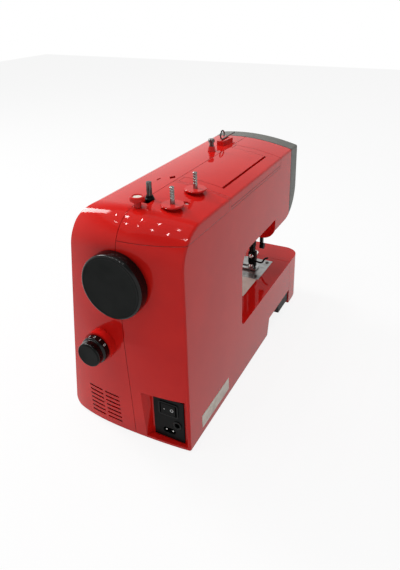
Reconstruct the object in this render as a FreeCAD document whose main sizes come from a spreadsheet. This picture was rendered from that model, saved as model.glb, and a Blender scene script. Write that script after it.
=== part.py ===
import FreeCAD, Part
import math
import os
from types import SimpleNamespace

import Sketcher
from FreeCAD import Placement, Rotation, Vector

# A household sewing machine, in millimetres. +X points at the hand wheel, +Y to the back and +Z up.
# The origin lies on the table under the middle of the machine.

SIZES = dict(
    # Casing
    casing_depth=172, part_depth=72, arm_height=87, crown_rise=11.7, crown_setback=82, wall=3, seam=0.5,
    foot_height=3, end_reach=189.5, end_bow=10.75, end_taper=7, taper_height=140, shoulder_radius=39,
    free_arm_reach=166.25, head_overhang=8.75, throat_right=31, bed_height=81, throat_height=106,
    throat_radius=22, bed_radius=8, skirt_width=84, skirt_drop=17, skirt_radius=45, cover_width=25,
    side_drop=32, side_radius=20,
    table_end=49.3, edge_radius=2, base_radius=10, free_arm_depth=88, sleeve_gap=26, base_left=68,
    front_lean=8.3, front_radius=22,
    # Carrying handle
    handle_right=64.75, handle_clear=16.25, handle_arm=15, handle_bar=16, handle_thickness=8,
    handle_gap=0.4, handle_slot=3, hinge_setback=9, hinge_radius=2, hinge_ease=0.6, tray_floor=4,
    # Power recess and panel
    recess_depth=15.5, recess_height=69, recess_front=11, recess_slant=9, panel_width=40, panel_height=58,
    panel_rear=9, panel_low=8, panel_plate=1.8, panel_body=20, rocker_width=22, rocker_height=15,
    jack_radius=3.2, pin_gap=8.6, pin_radius=1.2,
    # Cooling slots
    slot_length=21, slot_height=2.4, slot_pitch=6.4, slot_column=25, slot_low=12, slot_start=51,
    # Shafts
    shaft_rise=27.3, shaft_radius=4, lower_drop=25, lower_radius=3.5, bush_wall=4, bush_length=12,
    running=0.05, frame_setback=38, frame_plate=8, frame_right=140,
    # Hand wheel and length dial
    wheel_radius=36, wheel_width=13.5, wheel_gap=0.6, hub_radius=9,
    dial_setback=102, dial_height=129, collar_radius=18, collar_reach=198, dial_radius=16,
    dial_disc=9, cap_radius=14.4, cap_length=8.25, dial_shaft=3,
    # Needle, presser and feed
    needle_inset=44.25, needle_setback=59, bar_pitch=11, needle_bar_radius=3, presser_radius=3.5, stroke=28,
    guide_clear=7, guide_span=46, guide_width=25, plate_inset=10.25, plate_width=64, plate_setback=26,
    plate_depth=55, plate_thickness=1.2, foot_lift=1.2,
    take_up_front=16, take_up_out=9, take_up_thick=2.6, take_up_deep=7,
    # Bobbin
    race_radius=20, race_wall=2.5, race_width=16, bobbin_radius=10,
    # Drive
    pulley_radius=32, motor_radius=26, motor_length=54, motor_setback=114, motor_height=62, motor_pulley=6,
    belt_width=10, belt_thickness=2, belt_gap=0.3, belt_x=145, timing_radius=14, timing_x=50,
    # Top fittings
    spool_right=133, spool_pitch=51, spool_setback=36, spool_boss=2.6, spool_radius=2.5, spool_rise=21.5,
    spool_tail=14, disc_radius=12.5, disc_thickness=2.2, winder_x=129, winder_setback=66.5, winder_radius=3,
    winder_rise=20.5, winder_throw=26, winder_arm=6, winder_plate=5, stopper_x=152, deck_left=69,
    deck_screw_x=113, deck_screw_setback=31, deck_screw_radius=3.6, lozenge_width=12, lozenge_depth=8,
    post_x=-61, post_setback=86, guide_x=-100, guide_setback=86, guide_rise=7.2, wire_radius=1.1,
    wire_curl=6, wire_run=38,
    # Base, rubber feet and the black foot under the free arm
    base_thickness=3, base_front=12, base_short=26, feet_left=40, feet_middle=50, feet_right=145,
    feet_rear=21, feet_inner=22, feet_front=28, feet_radius=8, box_foot_length=44, box_foot_depth=32,
    box_foot_drop=7,
    # Front controls
    tension_x=-60, tension_height=244, tension_radius=14, pattern_x=105, pattern_height=165,
    pattern_radius=25, reverse_height=85,
)

DOC = FreeCAD.newDocument("SewingMachine")
SHEET = DOC.addObject("Spreadsheet::Sheet", "Sizes")
NODES = []


class Size:
    """A length with the expression that ties it to the sheet."""

    def __init__(self, value, text):
        self.value = value
        self.text = text

    def joined(self, other, sign, result, swap=False):
        left, right = (other, self) if swap else (self, other)
        return Size(result(left.value, right.value), f"({left.text} {sign} {right.text})")

    def __add__(self, other):
        return self.joined(as_size(other), "+", lambda a, b: a + b)

    def __radd__(self, other):
        return as_size(other) + self

    def __sub__(self, other):
        return self.joined(as_size(other), "-", lambda a, b: a - b)

    def __rsub__(self, other):
        return as_size(other) - self

    def __mul__(self, other):
        return self.joined(as_size(other), "*", lambda a, b: a * b)

    def __rmul__(self, other):
        return as_size(other) * self

    def __truediv__(self, other):
        return self.joined(as_size(other), "/", lambda a, b: a / b)

    def __neg__(self):
        return as_size(0) - self


def as_size(number):
    return number if isinstance(number, Size) else Size(float(number), f"({number})")


def fill_sheet():
    """Write the driving dimensions to the sheet and return them as sizes."""
    for row, (alias, value) in enumerate(SIZES.items(), start=1):
        SHEET.set(f"A{row}", str(value))
        SHEET.setAlias(f"A{row}", alias)
    DOC.recompute()
    return SimpleNamespace(**{alias: Size(float(value), f"Sizes.{alias}") for alias, value in SIZES.items()})


S = fill_sheet()

# Planes and stations that several pieces share
REAR = S.casing_depth / 2
FRONT = -REAR
PART = REAR - S.part_depth
CROWN_Y = REAR - S.crown_setback
BASE = S.foot_height
ARM_UNDER = S.bed_height + S.throat_height
REAR_TOP = ARM_UNDER + S.arm_height
LOWER_Z = S.bed_height - S.lower_drop
GUIDE_LOW = ARM_UNDER + S.guide_clear
GUIDE_HIGH = GUIDE_LOW + S.guide_span
ARM_END = -S.free_arm_reach
HEAD_LEFT = ARM_END - S.head_overhang
SKIRT_RIGHT = HEAD_LEFT + S.skirt_width
SKIRT_LOW = ARM_UNDER - S.skirt_drop
COVER_X = HEAD_LEFT + S.cover_width
FREE_FRONT = REAR - S.free_arm_depth
SLEEVE = BASE + S.sleeve_gap
NEEDLE_X = ARM_END + S.needle_inset
NEEDLE_Y = REAR - S.needle_setback
PRESSER_Y = NEEDLE_Y + S.bar_pitch
PLATE_LEFT = ARM_END + S.plate_inset
PLATE_REAR = REAR - S.plate_setback
SHAFT_Z = ARM_UNDER + S.shaft_rise
MOTOR_Y = REAR - S.motor_setback
FRAME_FRONT = REAR - S.frame_setback
SPOOL_Y = REAR - S.spool_setback
WINDER_Y = REAR - S.winder_setback
POST_Y = REAR - S.post_setback
GUIDE_Y = REAR - S.guide_setback
DIAL_Y = REAR - S.dial_setback
TAKE_UP_Y = PART - S.take_up_front
LEAN = math.radians(SIZES["front_lean"])

# Half-turns that lay a piece made along +Z onto another axis
AXES = {
    "X": Rotation(Vector(0, 1, 0), 90),
    "Y": Rotation(Vector(1, 0, 0), -90),
    "Z": Rotation(),
    "front": Rotation(Vector(1, 0, 0), 90 - SIZES["front_lean"]),
}


def bind(piece, **sizes):
    """Set each property from its size and tie it to the sheet."""
    for name, size in sizes.items():
        piece.setExpression(name.replace("__", "."), as_size(size).text)


def place(piece, x, y, z, axis="Z"):
    x, y, z = as_size(x), as_size(y), as_size(z)
    piece.Placement = Placement(Vector(x.value, y.value, z.value), AXES[axis])
    bind(piece, Placement__Base__x=x, Placement__Base__y=y, Placement__Base__z=z)
    return piece


def node(label, piece):
    """Name a finished piece and list it for writing."""
    piece.Label = label
    NODES.append(piece)
    return piece


def block(x0, x1, y0, y1, z0, z1):
    piece = DOC.addObject("Part::Box", "block")
    bind(piece, Length=as_size(x1) - x0, Width=as_size(y1) - y0, Height=as_size(z1) - z0)
    return place(piece, x0, y0, z0)


def rod(axis, u, v, start, end, radius):
    """A round bar along an axis; u and v are its other two coordinates in X, Y, Z order."""
    piece = DOC.addObject("Part::Cylinder", "rod")
    bind(piece, Radius=radius, Height=as_size(end) - start)
    spot = {"X": (start, u, v), "Y": (u, start, v), "Z": (u, v, start)}[axis]
    return place(piece, *spot, axis)


def fuse(*pieces):
    piece = DOC.addObject("Part::MultiFuse", "joined")
    piece.Shapes = list(pieces)
    return piece


def cut(base, *tools):
    piece = DOC.addObject("Part::Cut", "cut")
    piece.Base = base
    piece.Tool = tools[0] if len(tools) == 1 else fuse(*tools)
    return piece


def hold(sketch, point, kind, size):
    """Fix one coordinate of a sketch point by a size, or lay it on the sketch axis."""
    if size.value == 0:
        axis = -2 if kind == "DistanceX" else -1
        sketch.addConstraint(Sketcher.Constraint("PointOnObject", point, 1, axis))
        return
    index = sketch.addConstraint(Sketcher.Constraint(kind, -1, 1, point, 1, size.value))
    sketch.setExpression(f"Constraints[{index}]", size.text)


def outlined(body, plane, corners):
    """A closed sketch of straight lines through corners held by sizes."""
    sketch = body.newObject("Sketcher::SketchObject", "outline")
    origin_plane = next(item for item in body.Origin.OriginFeatures if item.Role == plane)
    sketch.AttachmentSupport = [(origin_plane, "")]
    sketch.MapMode = "FlatFace"
    corners = [(as_size(u), as_size(v)) for u, v in corners]
    points = [Vector(u.value, v.value, 0) for u, v in corners]
    for first, last in zip(points, points[1:] + points[:1]):
        sketch.addGeometry(Part.LineSegment(first, last))
    for index in range(len(points)):
        following = (index + 1) % len(points)
        sketch.addConstraint(Sketcher.Constraint("Coincident", index, 2, following, 1))
    for index, (u, v) in enumerate(corners):
        hold(sketch, index, "DistanceX", u)
        hold(sketch, index, "DistanceY", v)
    return sketch


def turned(x, y, z, axis, profile):
    """A turned piece: (along, radius) corners swept round an axis that starts at x, y, z."""
    body = DOC.addObject("PartDesign::Body", "turned")
    sketch = outlined(body, "XZ_Plane", [(radius, along) for along, radius in profile])
    turn = body.newObject("PartDesign::Revolution", "turn")
    turn.Profile = sketch
    turn.ReferenceAxis = (sketch, ["V_Axis"])
    turn.Angle = 360
    return place(body, x, y, z, axis)


def plate(corners, low, thickness):
    """A flat plate padded up from a level, with (x, y) corners."""
    body = DOC.addObject("PartDesign::Body", "plate")
    pad = body.newObject("PartDesign::Pad", "pad")
    pad.Profile = outlined(body, "XY_Plane", corners)
    bind(pad, Length=thickness)
    return place(body, 0, 0, low)


# Shapes for the moulded casing

FAR = 400


def span(x0, x1, y0, y1, z0, z1):
    x0, x1, y0, y1, z0, z1 = (as_size(item).value for item in (x0, x1, y0, y1, z0, z1))
    return Part.makeBox(x1 - x0, y1 - y0, z1 - z0, Vector(x0, y0, z0))


def bar(axis, u, v, start, end, radius):
    u, v, start, end, radius = (as_size(item).value for item in (u, v, start, end, radius))
    base = {"X": Vector(start, u, v), "Y": Vector(u, start, v), "Z": Vector(u, v, start)}[axis]
    way = {"X": Vector(1, 0, 0), "Y": Vector(0, 1, 0), "Z": Vector(0, 0, 1)}[axis]
    return Part.makeCylinder(radius, end - start, base, way)


def rounded(corners, lay, closed=True):
    """An outline of lines joined by tangent arcs, from (u, v, radius) corners, laid in space."""
    spots = [Vector(as_size(u).value, as_size(v).value, 0) for u, v, _ in corners]
    edges, previous, first = [], None, None
    for index, (_, _, radius) in enumerate(corners):
        radius = as_size(radius).value
        here = spots[index]
        back = (spots[index - 1] - here).normalize()
        ahead = (spots[(index + 1) % len(spots)] - here).normalize()
        half = math.acos(max(-1, min(1, back.dot(ahead)))) / 2
        reach = radius / math.tan(half)
        start, end = here + back * reach, here + ahead * reach
        if previous is not None:
            edges.append(Part.LineSegment(lay(previous), lay(start)).toShape())
        first = start if first is None else first
        if radius > 0:
            middle = (back + ahead).normalize() * (radius / math.sin(half) - radius) + here
            edges.append(Part.Arc(lay(start), lay(middle), lay(end)).toShape())
        previous = end
    if closed:
        edges.append(Part.LineSegment(lay(previous), lay(first)).toShape())
    return Part.Wire(edges)


def prism(corners, axis, start, end):
    """A straight block whose outline lies across the named axis."""
    start, end = as_size(start).value, as_size(end).value
    lay = {
        "X": lambda p: Vector(start, p.x, p.y),
        "Y": lambda p: Vector(p.x, start, p.y),
        "Z": lambda p: Vector(p.x, p.y, start),
    }[axis]
    way = {"X": Vector(1, 0, 0), "Y": Vector(0, 1, 0), "Z": Vector(0, 0, 1)}[axis]
    return Part.Face(rounded(corners, lay)).extrude(way * (end - start))


def crown(y):
    """Height of the crowned top at a depth: a shallow parabola that peaks at the crown line."""
    drop = SIZES["crown_rise"] / SIZES["crown_setback"] ** 2
    return REAR_TOP.value + SIZES["crown_rise"] - drop * (y - CROWN_Y.value) ** 2


def end_reach(y):
    """How far the bowed right end reaches at a depth: a parabola that peaks at the parting line."""
    fall = SIZES["end_bow"] / SIZES["part_depth"] ** 2
    return SIZES["end_reach"] - fall * (y - PART.value) ** 2


def front_at(z, inset=0):
    """The leaning front face's depth at a height."""
    return FRONT.value + inset / math.cos(LEAN) + (z - BASE.value) * math.tan(LEAN)


def end_section(y, inset, low):
    """The casing's outline across one depth: bowed end, shoulder arc and crowned top."""
    top, end = crown(y) - inset, end_reach(y) - inset
    fade = 1 - ((y - PART.value) / SIZES["part_depth"]) ** 2
    foot = end - SIZES["end_taper"] * max(fade, 0)
    radius = SIZES["shoulder_radius"] - inset
    slant = radius * math.sqrt(0.5)
    spot = lambda x, z: Vector(x, y, z)
    edges = [
        Part.LineSegment(spot(-FAR, low), spot(foot, low)),
        Part.LineSegment(spot(foot, low), spot(end, SIZES["taper_height"])),
        Part.LineSegment(spot(end, SIZES["taper_height"]), spot(end, top - radius)),
        Part.Arc(spot(end, top - radius), spot(end - radius + slant, top - radius + slant),
                 spot(end - radius, top)),
        Part.LineSegment(spot(end - radius, top), spot(-FAR, top)),
        Part.LineSegment(spot(-FAR, top), spot(-FAR, low)),
    ]
    return Part.Wire([edge.toShape() for edge in edges])


def front_block(inset):
    """Everything behind the leaning front face and under the roof line that meets it in an arc."""
    roof_y = CROWN_Y.value - 20
    rise = 2 * SIZES["crown_rise"] / SIZES["crown_setback"] ** 2 * (CROWN_Y.value - roof_y)
    roof = lambda y: crown(roof_y) - inset + rise * (y - roof_y)
    lean = math.tan(LEAN)
    corner_y = (front_at(0, inset) + lean * (roof(0))) / (1 - lean * rise)
    low, turn = (-50, 0) if inset else (BASE.value, SIZES["base_radius"])
    corners = [
        (REAR + 10, low, 0), (REAR + 10, roof(REAR.value + 10), 0),
        (corner_y, roof(corner_y), SIZES["front_radius"] - inset), (front_at(low, inset), low, turn),
    ]
    return prism(corners, "X", -FAR, FAR)


def side_outline(inset):
    """The casing's side view: head, skirt, throat, free arm and base. The inside is open below."""
    if inset:
        low, skirt_low, skirt_edge = -40, SKIRT_LOW - 40, SKIRT_RIGHT + S.wall
    else:
        low, skirt_low, skirt_edge = BASE, SKIRT_LOW, SKIRT_RIGHT
    return [
        (FAR, low, 0), (FAR, FAR, 0), (HEAD_LEFT + inset, FAR, 0),
        (HEAD_LEFT + inset, skirt_low, 0 if inset else S.skirt_radius), (skirt_edge, skirt_low, 0),
        (skirt_edge, ARM_UNDER + inset, 0), (S.throat_right + inset, ARM_UNDER + inset, S.throat_radius),
        (S.throat_right + inset, S.bed_height - inset, S.bed_radius),
        (ARM_END + inset, S.bed_height - inset, 0), (ARM_END + inset, SLEEVE + inset, 0),
        (inset - S.base_left - 7, SLEEVE + inset, 0),
        (inset - S.base_left, low, 0),
    ]


def casing(inset):
    """The whole outer form, or the hollow inside it when inset by the wall."""
    low = -40 if inset else BASE.value
    depths = [REAR.value - inset, REAR.value - 40, PART.value, PART.value - 45, FRONT.value - 12]
    edge = SIZES["edge_radius"]
    depths[0] -= 0 if inset else edge
    form = Part.makeLoft([end_section(depth, inset, low) for depth in depths], True, False)
    if not inset:
        turns = [math.radians(angle) for angle in (0, 30, 60, 90)]
        rim = [end_section(depths[0] + edge * math.sin(turn), edge * (1 - math.cos(turn)), low)
               for turn in turns]
        form = form.fuse(Part.makeLoft(rim, True, False))
    form = form.common(prism(side_outline(inset), "Y", -FAR, FAR)).common(front_block(inset))
    beside = span(-FAR, S.throat_right - 5 + inset, -FAR, FREE_FRONT + inset, -FAR, S.bed_height + inset)
    return form.cut(beside)


HANDLE_LEFT = NEEDLE_X + S.needle_bar_radius + S.handle_clear
HINGE_Y = PART + S.hinge_setback
HINGE_Z = crown(HINGE_Y.value) - SIZES["handle_thickness"] / 2


def handle_region(gap, slot, start):
    """The U of the folded handle seen from above: a rear bar and two arms that start at a depth."""
    outer = span(HANDLE_LEFT - gap, S.handle_right + gap, start, REAR + 5, ARM_UNDER, FAR)
    inner = span(HANDLE_LEFT + S.handle_arm + gap, S.handle_right - S.handle_arm - gap, -FAR,
                 REAR - S.handle_bar - slot, ARM_UNDER, FAR)
    return outer.cut(inner)


def hinge_rounds(radius, gap):
    """Round clearance for the square front ends of the handle's two arms, about the hinge line."""
    left = bar("X", HINGE_Y, HINGE_Z, HANDLE_LEFT - gap, HANDLE_LEFT + S.handle_arm + gap, radius)
    right = bar("X", HINGE_Y, HINGE_Z, S.handle_right - S.handle_arm - gap, S.handle_right + gap, radius)
    return left.fuse(right)


def hinge_lines(radius):
    """Round bars on the hinge line, through each arm and into the casing on both sides of it."""
    side = S.handle_gap + S.wall - 0.5
    right = bar("X", HINGE_Y, HINGE_Z, S.handle_right - S.handle_arm - side, S.handle_right + side, radius)
    left = bar("X", HINGE_Y, HINGE_Z, HANDLE_LEFT - side, HANDLE_LEFT + S.handle_arm + side, radius)
    return right, left


def skin(form, depth):
    """The upper layer of a form, to a depth straight down."""
    lower = form.copy()
    lower.translate(Vector(0, 0, -depth))
    return form.cut(lower)


WINDER_LEVEL = REAR_TOP - 12
SPOOL_SEAT = crown(SPOOL_Y.value) + SIZES["spool_boss"]
SEAT_GAP = 0.25
RECESS_X = S.end_reach - S.recess_depth
RECESS_REAR = REAR - S.wall
PANEL_Y = REAR - S.panel_rear - S.panel_width
PANEL_MID = PANEL_Y + S.panel_width / 2


def power_recess(inset):
    """The stepped recess for the mains panel, with a slanted front side."""
    edge = PART + S.recess_front - inset
    fall = S.recess_slant / S.recess_depth
    corners = [(FAR, edge - fall * (FAR - S.end_reach), 0), (RECESS_X - inset, edge + S.recess_slant, 0),
               (RECESS_X - inset, RECESS_REAR + inset, 0), (FAR, RECESS_REAR + inset, 0)]
    return prism(corners, "Z", BASE + 3 - inset, BASE + S.recess_height + inset)


def skirt_side():
    """The wall that closes the skirt's right side and hangs below its rim, slotted for the lifter."""
    top, low, turn = ARM_UNDER + S.wall, ARM_UNDER - S.side_drop, S.side_radius
    corners = [(REAR, top, 0), (REAR, low, turn), (front_at(low.value), low, turn),
               (front_at(top.value), top, 0)]
    wall = prism(corners, "X", SKIRT_RIGHT, SKIRT_RIGHT + S.wall)
    lever_slot = span(SKIRT_RIGHT - 1, SKIRT_RIGHT + S.wall + 1, FRAME_FRONT + 0.5, FRAME_FRONT + 10,
                      low - 1, ARM_UNDER - 6)
    return wall.cut(lever_slot)


def make_casing():
    """Rear shell, front shell, face cover and carrying handle, cut from one moulded form."""
    form, hollow = casing(0), casing(SIZES["wall"])
    gap, depth = SIZES["handle_gap"], SIZES["handle_thickness"]
    shell = form.cut(hollow).fuse(skirt_side())

    pocket = span(HANDLE_LEFT - gap - S.wall, S.handle_right + gap + S.wall, PART + S.seam / 2, FAR,
                  ARM_UNDER, FAR)
    tray = skin(form, depth + gap + SIZES["tray_floor"]).common(pocket)
    round_end = hinge_rounds(depth / math.sqrt(2) + SIZES["hinge_ease"], gap)
    trough = handle_region(gap, SIZES["handle_slot"], HINGE_Y)
    groove = skin(form, depth + gap).common(trough).fuse(round_end)
    pins = hinge_lines(SIZES["hinge_radius"] + 0.02)
    tray = tray.cut(groove)
    recess_wall = power_recess(SIZES["wall"]).common(form)
    recess = power_recess(0)

    rear_side = span(-FAR, FAR, PART + S.seam / 2, FAR, -FAR, FAR)
    head_end = span(-FAR, COVER_X + S.seam, -FAR, FAR, SKIRT_LOW - 10, FAR)
    body = shell.cut(head_end)
    arm_side = span(-FAR, S.throat_right - S.bed_radius - 1, -FAR, FAR, -FAR, ARM_UNDER - 40)
    free_arm = body.common(arm_side)
    body = body.cut(arm_side)
    rear = body.cut(groove).common(rear_side).fuse(tray).cut(power_recess(SIZES["wall"]))
    rear = rear.cut(pins[0]).cut(pins[1])
    recess_tray = recess_wall.common(rear_side).cut(recess)
    front = body.common(span(-FAR, FAR, -FAR, PART - S.seam / 2, -FAR, FAR))
    cover = shell.common(span(-FAR, COVER_X, -FAR, FAR, SKIRT_LOW - 10, FAR))

    shaft_hole = bar("X", PART, SHAFT_Z, 0, FAR, S.hub_radius + 0.5)
    plate_seat = span(PLATE_LEFT - 0.2, PLATE_LEFT + S.plate_width + 0.2,
                      PLATE_REAR - S.plate_depth - 0.2, PLATE_REAR + 0.2,
                      S.bed_height - S.plate_thickness, S.bed_height + 5)
    well = span(PLATE_LEFT + 4, PLATE_LEFT + S.plate_width - 4, PLATE_REAR - S.plate_depth + 4,
                PLATE_REAR - 4, S.bed_height - 10, S.bed_height + 5)
    panel_hole = span(RECESS_X - 10, RECESS_X + 1, PANEL_Y + 3, PANEL_Y + S.panel_width - 3,
                      S.panel_low + 3, S.panel_low + S.panel_height - 3)
    rear = rear.cut(shaft_hole)
    recess_tray = recess_tray.cut(panel_hole)
    free_arm = free_arm.cut(plate_seat).cut(well)
    for spool in (S.spool_right, S.spool_right - S.spool_pitch):
        boss = bar("Z", spool, SPOOL_Y, SPOOL_SEAT - 10, SPOOL_SEAT, 6)
        rear = rear.fuse(boss).cut(bar("Z", spool, SPOOL_Y, 0, FAR, S.spool_radius + S.running))
    screw_y = REAR - S.deck_screw_setback
    rear = rear.cut(bar("Z", S.deck_screw_x, screw_y, WINDER_LEVEL, FAR, S.deck_screw_radius))
    winder_slot = span(S.winder_x - 4, S.winder_x + 11, WINDER_Y - 4.5, WINDER_Y + 4.5, WINDER_LEVEL, FAR)
    rear = rear.cut(winder_slot)

    collar = bar("X", DIAL_Y, S.dial_height, S.end_reach - 10, S.collar_reach, S.collar_radius)
    dial_bore = bar("X", DIAL_Y, S.dial_height, 0, FAR, S.dial_shaft + S.running)
    front = front.fuse(collar.cut(hollow)).cut(shaft_hole).cut(dial_bore)
    for column in range(2):
        for row in range(7):
            y = column * SIZES["slot_column"] - SIZES["slot_start"]
            z = SIZES["slot_low"] + row * SIZES["slot_pitch"]
            front = front.cut(span(100, FAR, y, y + S.slot_length, z, z + S.slot_height))
    post_y = WINDER_Y - S.winder_throw
    front = front.fuse(bar("Z", S.winder_x, post_y, WINDER_LEVEL - 2, crown(post_y.value) - 1, 2.5))
    front = front.cut(deck_holes())
    front = front.fuse(guide_block())
    lever_slot = span(NEEDLE_X + 5.3, NEEDLE_X + 11.3, -FAR, front_at(255) + 20, 212, 276)
    front = front.cut(lever_slot)
    for x, z in ((S.tension_x, S.tension_height), (S.pattern_x, S.pattern_height)):
        hole = Part.makeCylinder(5 + SIZES["running"], 60, Vector(0, 0, -30), Vector(0, 0, 1))
        hole.Placement = Placement(Vector(x.value, front_at(z.value), z.value), AXES["front"])
        front = front.cut(hole)
    reverse_slot = span(S.pattern_x - 9, S.pattern_x + 9, -FAR, front_at(SIZES["reverse_height"]) + 34,
                        S.reverse_height - 8, S.reverse_height + 8)
    lamp_hole = bar("Z", S.tension_x, LAMP_Y, ARM_UNDER - 5, ARM_UNDER + 10, 9.2)
    front = front.cut(reverse_slot).cut(lamp_hole)

    handle = skin(form, depth).common(handle_region(0, 0, HINGE_Y - depth / 2))
    for line in hinge_lines(SIZES["hinge_radius"] + SIZES["running"]):
        handle = handle.cut(line)
    for label, shape in (("rear_shell", rear), ("front_shell", front), ("free_arm", free_arm),
                         ("recess_tray", recess_tray), ("face_cover", cover), ("carry_handle", handle)):
        feature(label, shape)
    feature("handle_pins", Part.makeCompound(hinge_lines(SIZES["hinge_radius"])))


def deck_holes():
    """The thread slot and the lozenge hole in the front half's top."""
    level = WINDER_LEVEL + 5
    slot = span(S.deck_left - 4, S.deck_left + 4, POST_Y - 7.2, POST_Y - 4.8, level, FAR)
    middle, wide, deep = S.deck_left - 12, S.lozenge_width / 2, S.lozenge_depth / 2
    lozenge = [(middle - wide, POST_Y + 6, 0), (middle, POST_Y + 6 - deep, 0),
               (middle + wide, POST_Y + 6, 0), (middle, POST_Y + 6 + deep, 0)]
    return slot.fuse(prism(lozenge, "Z", level, FAR))


def guide_block():
    """The tapered block moulded on the top for the wire guide, with its foot on the crowned surface."""
    low, high = crown(GUIDE_Y.value) - 1, crown(GUIDE_Y.value) + SIZES["guide_rise"]
    corners = [(S.guide_x - 14, GUIDE_Y - 8, 0), (S.guide_x + 12, GUIDE_Y - 5, 0),
               (S.guide_x + 12, GUIDE_Y + 5, 0), (S.guide_x - 14, GUIDE_Y + 8, 0)]
    return prism(corners, "Z", low, high)


def feature(label, shape):
    piece = DOC.addObject("Part::Feature", label)
    piece.Shape = shape.removeSplitter() if shape.ShapeType != "Compound" else shape
    return node(label, piece)


def table_form(inset):
    """The extension table's L-shaped outer form, or the hollow inside it."""
    left, right, low = ARM_END - S.table_end + inset, S.throat_right - 5.5 - inset, BASE + 1 + inset
    side = [(left, S.bed_height - inset, 0), (left, low, 32 - inset), (right, low, 0),
            (right, S.bed_height - inset, 0)]
    plan = [(left, REAR - inset, 24 - inset), (left, FRONT, 20 - inset), (FAR, FRONT, 0),
            (FAR, REAR - inset, 0)]
    form = prism(side, "Y", -FAR, FAR).common(prism(plan, "Z", -FAR, FAR)).common(front_block(inset))
    beside = span(ARM_END - S.seam - inset, FAR, FREE_FRONT - S.seam - inset, FAR, -FAR, FAR)
    return form.cut(beside)


def make_accessory_box():
    """The extension table that slips over the free arm, its lid and its black foot."""
    gap = S.seam
    form = table_form(0).cut(table_form(SIZES["wall"]))
    top, thick = S.bed_height, 2.7
    left, right, front, rear = ARM_END + 8, S.throat_right - 13, front_at(top.value) + 5, FREE_FRONT - 6
    lid_axis = (rear - 1.35, top - thick / 2)
    form = form.cut(span(left + 3, right - 3, front + 3, rear - 3, BASE + 4, FAR))
    form = form.cut(span(left - 0.4, right + 0.4, front - 0.4, rear + 0.5, top - thick - 0.3, FAR))
    form = form.cut(bar("X", lid_axis[0], lid_axis[1], left - 3, right + 3, 0.95))
    feature("accessory_box", form)
    lid = fuse(block(left, right, front, lid_axis[0], top - thick, top),
               rod("X", lid_axis[0], lid_axis[1], left, right, thick / 2),
               rod("X", lid_axis[0], lid_axis[1], left - 2.8, right + 2.8, 0.9))
    node("box_lid", lid)
    foot_rear = REAR - 2
    node("box_foot", block(ARM_END - gap, ARM_END + S.box_foot_length, foot_rear - S.box_foot_depth,
                           foot_rear, BASE + S.box_foot_drop, SLEEVE - 2))


def make_base():
    """Floor tray and the rubber feet under it."""
    inset = S.wall + 0.4
    right, deep = S.end_reach - S.base_short, S.throat_right + 2
    left, front, inner = inset - S.base_left + 1, FRONT + S.base_front, FREE_FRONT + inset + 1
    corners = [(left, REAR - inset), (right, REAR - inset), (right, front), (deep, front), (deep, inner),
               (left, inner)]
    node("base_plate", plate(corners, BASE, S.base_thickness))
    wide = S.feet_radius
    section = [(0, 0), (0, wide - 1), (1, wide), (BASE, wide), (BASE, 0)]
    rows = (REAR - S.feet_rear, FREE_FRONT + S.feet_inner)
    behind = [(x, y) for x in (-S.feet_left, S.feet_right) for y in rows]
    ahead = [(x, FRONT + S.feet_front) for x in (S.feet_middle, S.feet_right)]
    group("rubber_feet", [turned(x, y, 0, "Z", section) for x, y in behind + ahead])


def group(label, pieces):
    piece = DOC.addObject("Part::Compound", label)
    piece.Links = pieces
    return node(label, piece)


FRAME_BACK = FRAME_FRONT + S.frame_plate
BUSH = S.shaft_radius + S.bush_wall
LOWER_BUSH = S.lower_radius + S.bush_wall
MAIN_BUSHES = (S.frame_right - 14, SKIRT_RIGHT + 7)
LOWER_BUSHES = (S.timing_x + 22, NEEDLE_X + 22)


def make_frame():
    """The cast frame: beams, bearing blocks, bar guides and the motor cradle."""
    floor = BASE + S.base_thickness
    left = NEEDLE_X + S.guide_width - 10
    beams = [
        block(left - 8, S.frame_right, FRAME_FRONT, FRAME_BACK, GUIDE_LOW, GUIDE_HIGH + 6),
        block(S.frame_right - 60, S.frame_right, FRAME_FRONT, FRAME_BACK, floor, GUIDE_HIGH),
        block(ARM_END + 14, S.frame_right, FRAME_FRONT, FRAME_BACK, LOWER_Z - 16, LOWER_Z + 6),
        block(S.frame_right - 80, S.frame_right, MOTOR_Y - 20, FRAME_BACK, floor, floor + 6),
        block(S.frame_right - 42, S.frame_right - 4, MOTOR_Y - 14, MOTOR_Y + 14, floor, S.motor_height - 15),
    ]
    for x in MAIN_BUSHES:
        beams.append(block(x, x + S.bush_length, PART - BUSH - 4, FRAME_BACK, SHAFT_Z - BUSH - 4,
                           SHAFT_Z + BUSH + 4))
    for x in LOWER_BUSHES:
        beams.append(block(x, x + S.bush_length, NEEDLE_Y - LOWER_BUSH - 4, FRAME_BACK,
                           LOWER_Z - LOWER_BUSH - 4, LOWER_Z + LOWER_BUSH + 4))
    for z in (GUIDE_LOW, GUIDE_HIGH):
        beams.append(block(NEEDLE_X - 10, left, NEEDLE_Y - 7, FRAME_FRONT + 2, z, z + 6))
    beams.append(block(left - 4, left, TAKE_UP_Y - 6, NEEDLE_Y, GUIDE_HIGH, GUIDE_HIGH + 6))
    holes = [rod("X", PART, SHAFT_Z, x, x + S.bush_length, BUSH) for x in MAIN_BUSHES]
    holes += [rod("X", NEEDLE_Y, LOWER_Z, x, x + S.bush_length, LOWER_BUSH) for x in LOWER_BUSHES]
    holes.append(rod("Z", NEEDLE_X, NEEDLE_Y, 0, FAR, S.needle_bar_radius + S.running))
    holes.append(rod("Z", NEEDLE_X, PRESSER_Y, 0, FAR, S.presser_radius + S.running))
    holes.append(rod("X", MOTOR_Y, S.motor_height, 0, S.frame_right + 10, S.motor_radius))
    holes.append(rod("X", TAKE_UP_Y, GUIDE_HIGH + 3, left - 10, left + 1, 2 + S.running))
    node("frame_casting", cut(fuse(*beams), *holes))


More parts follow.
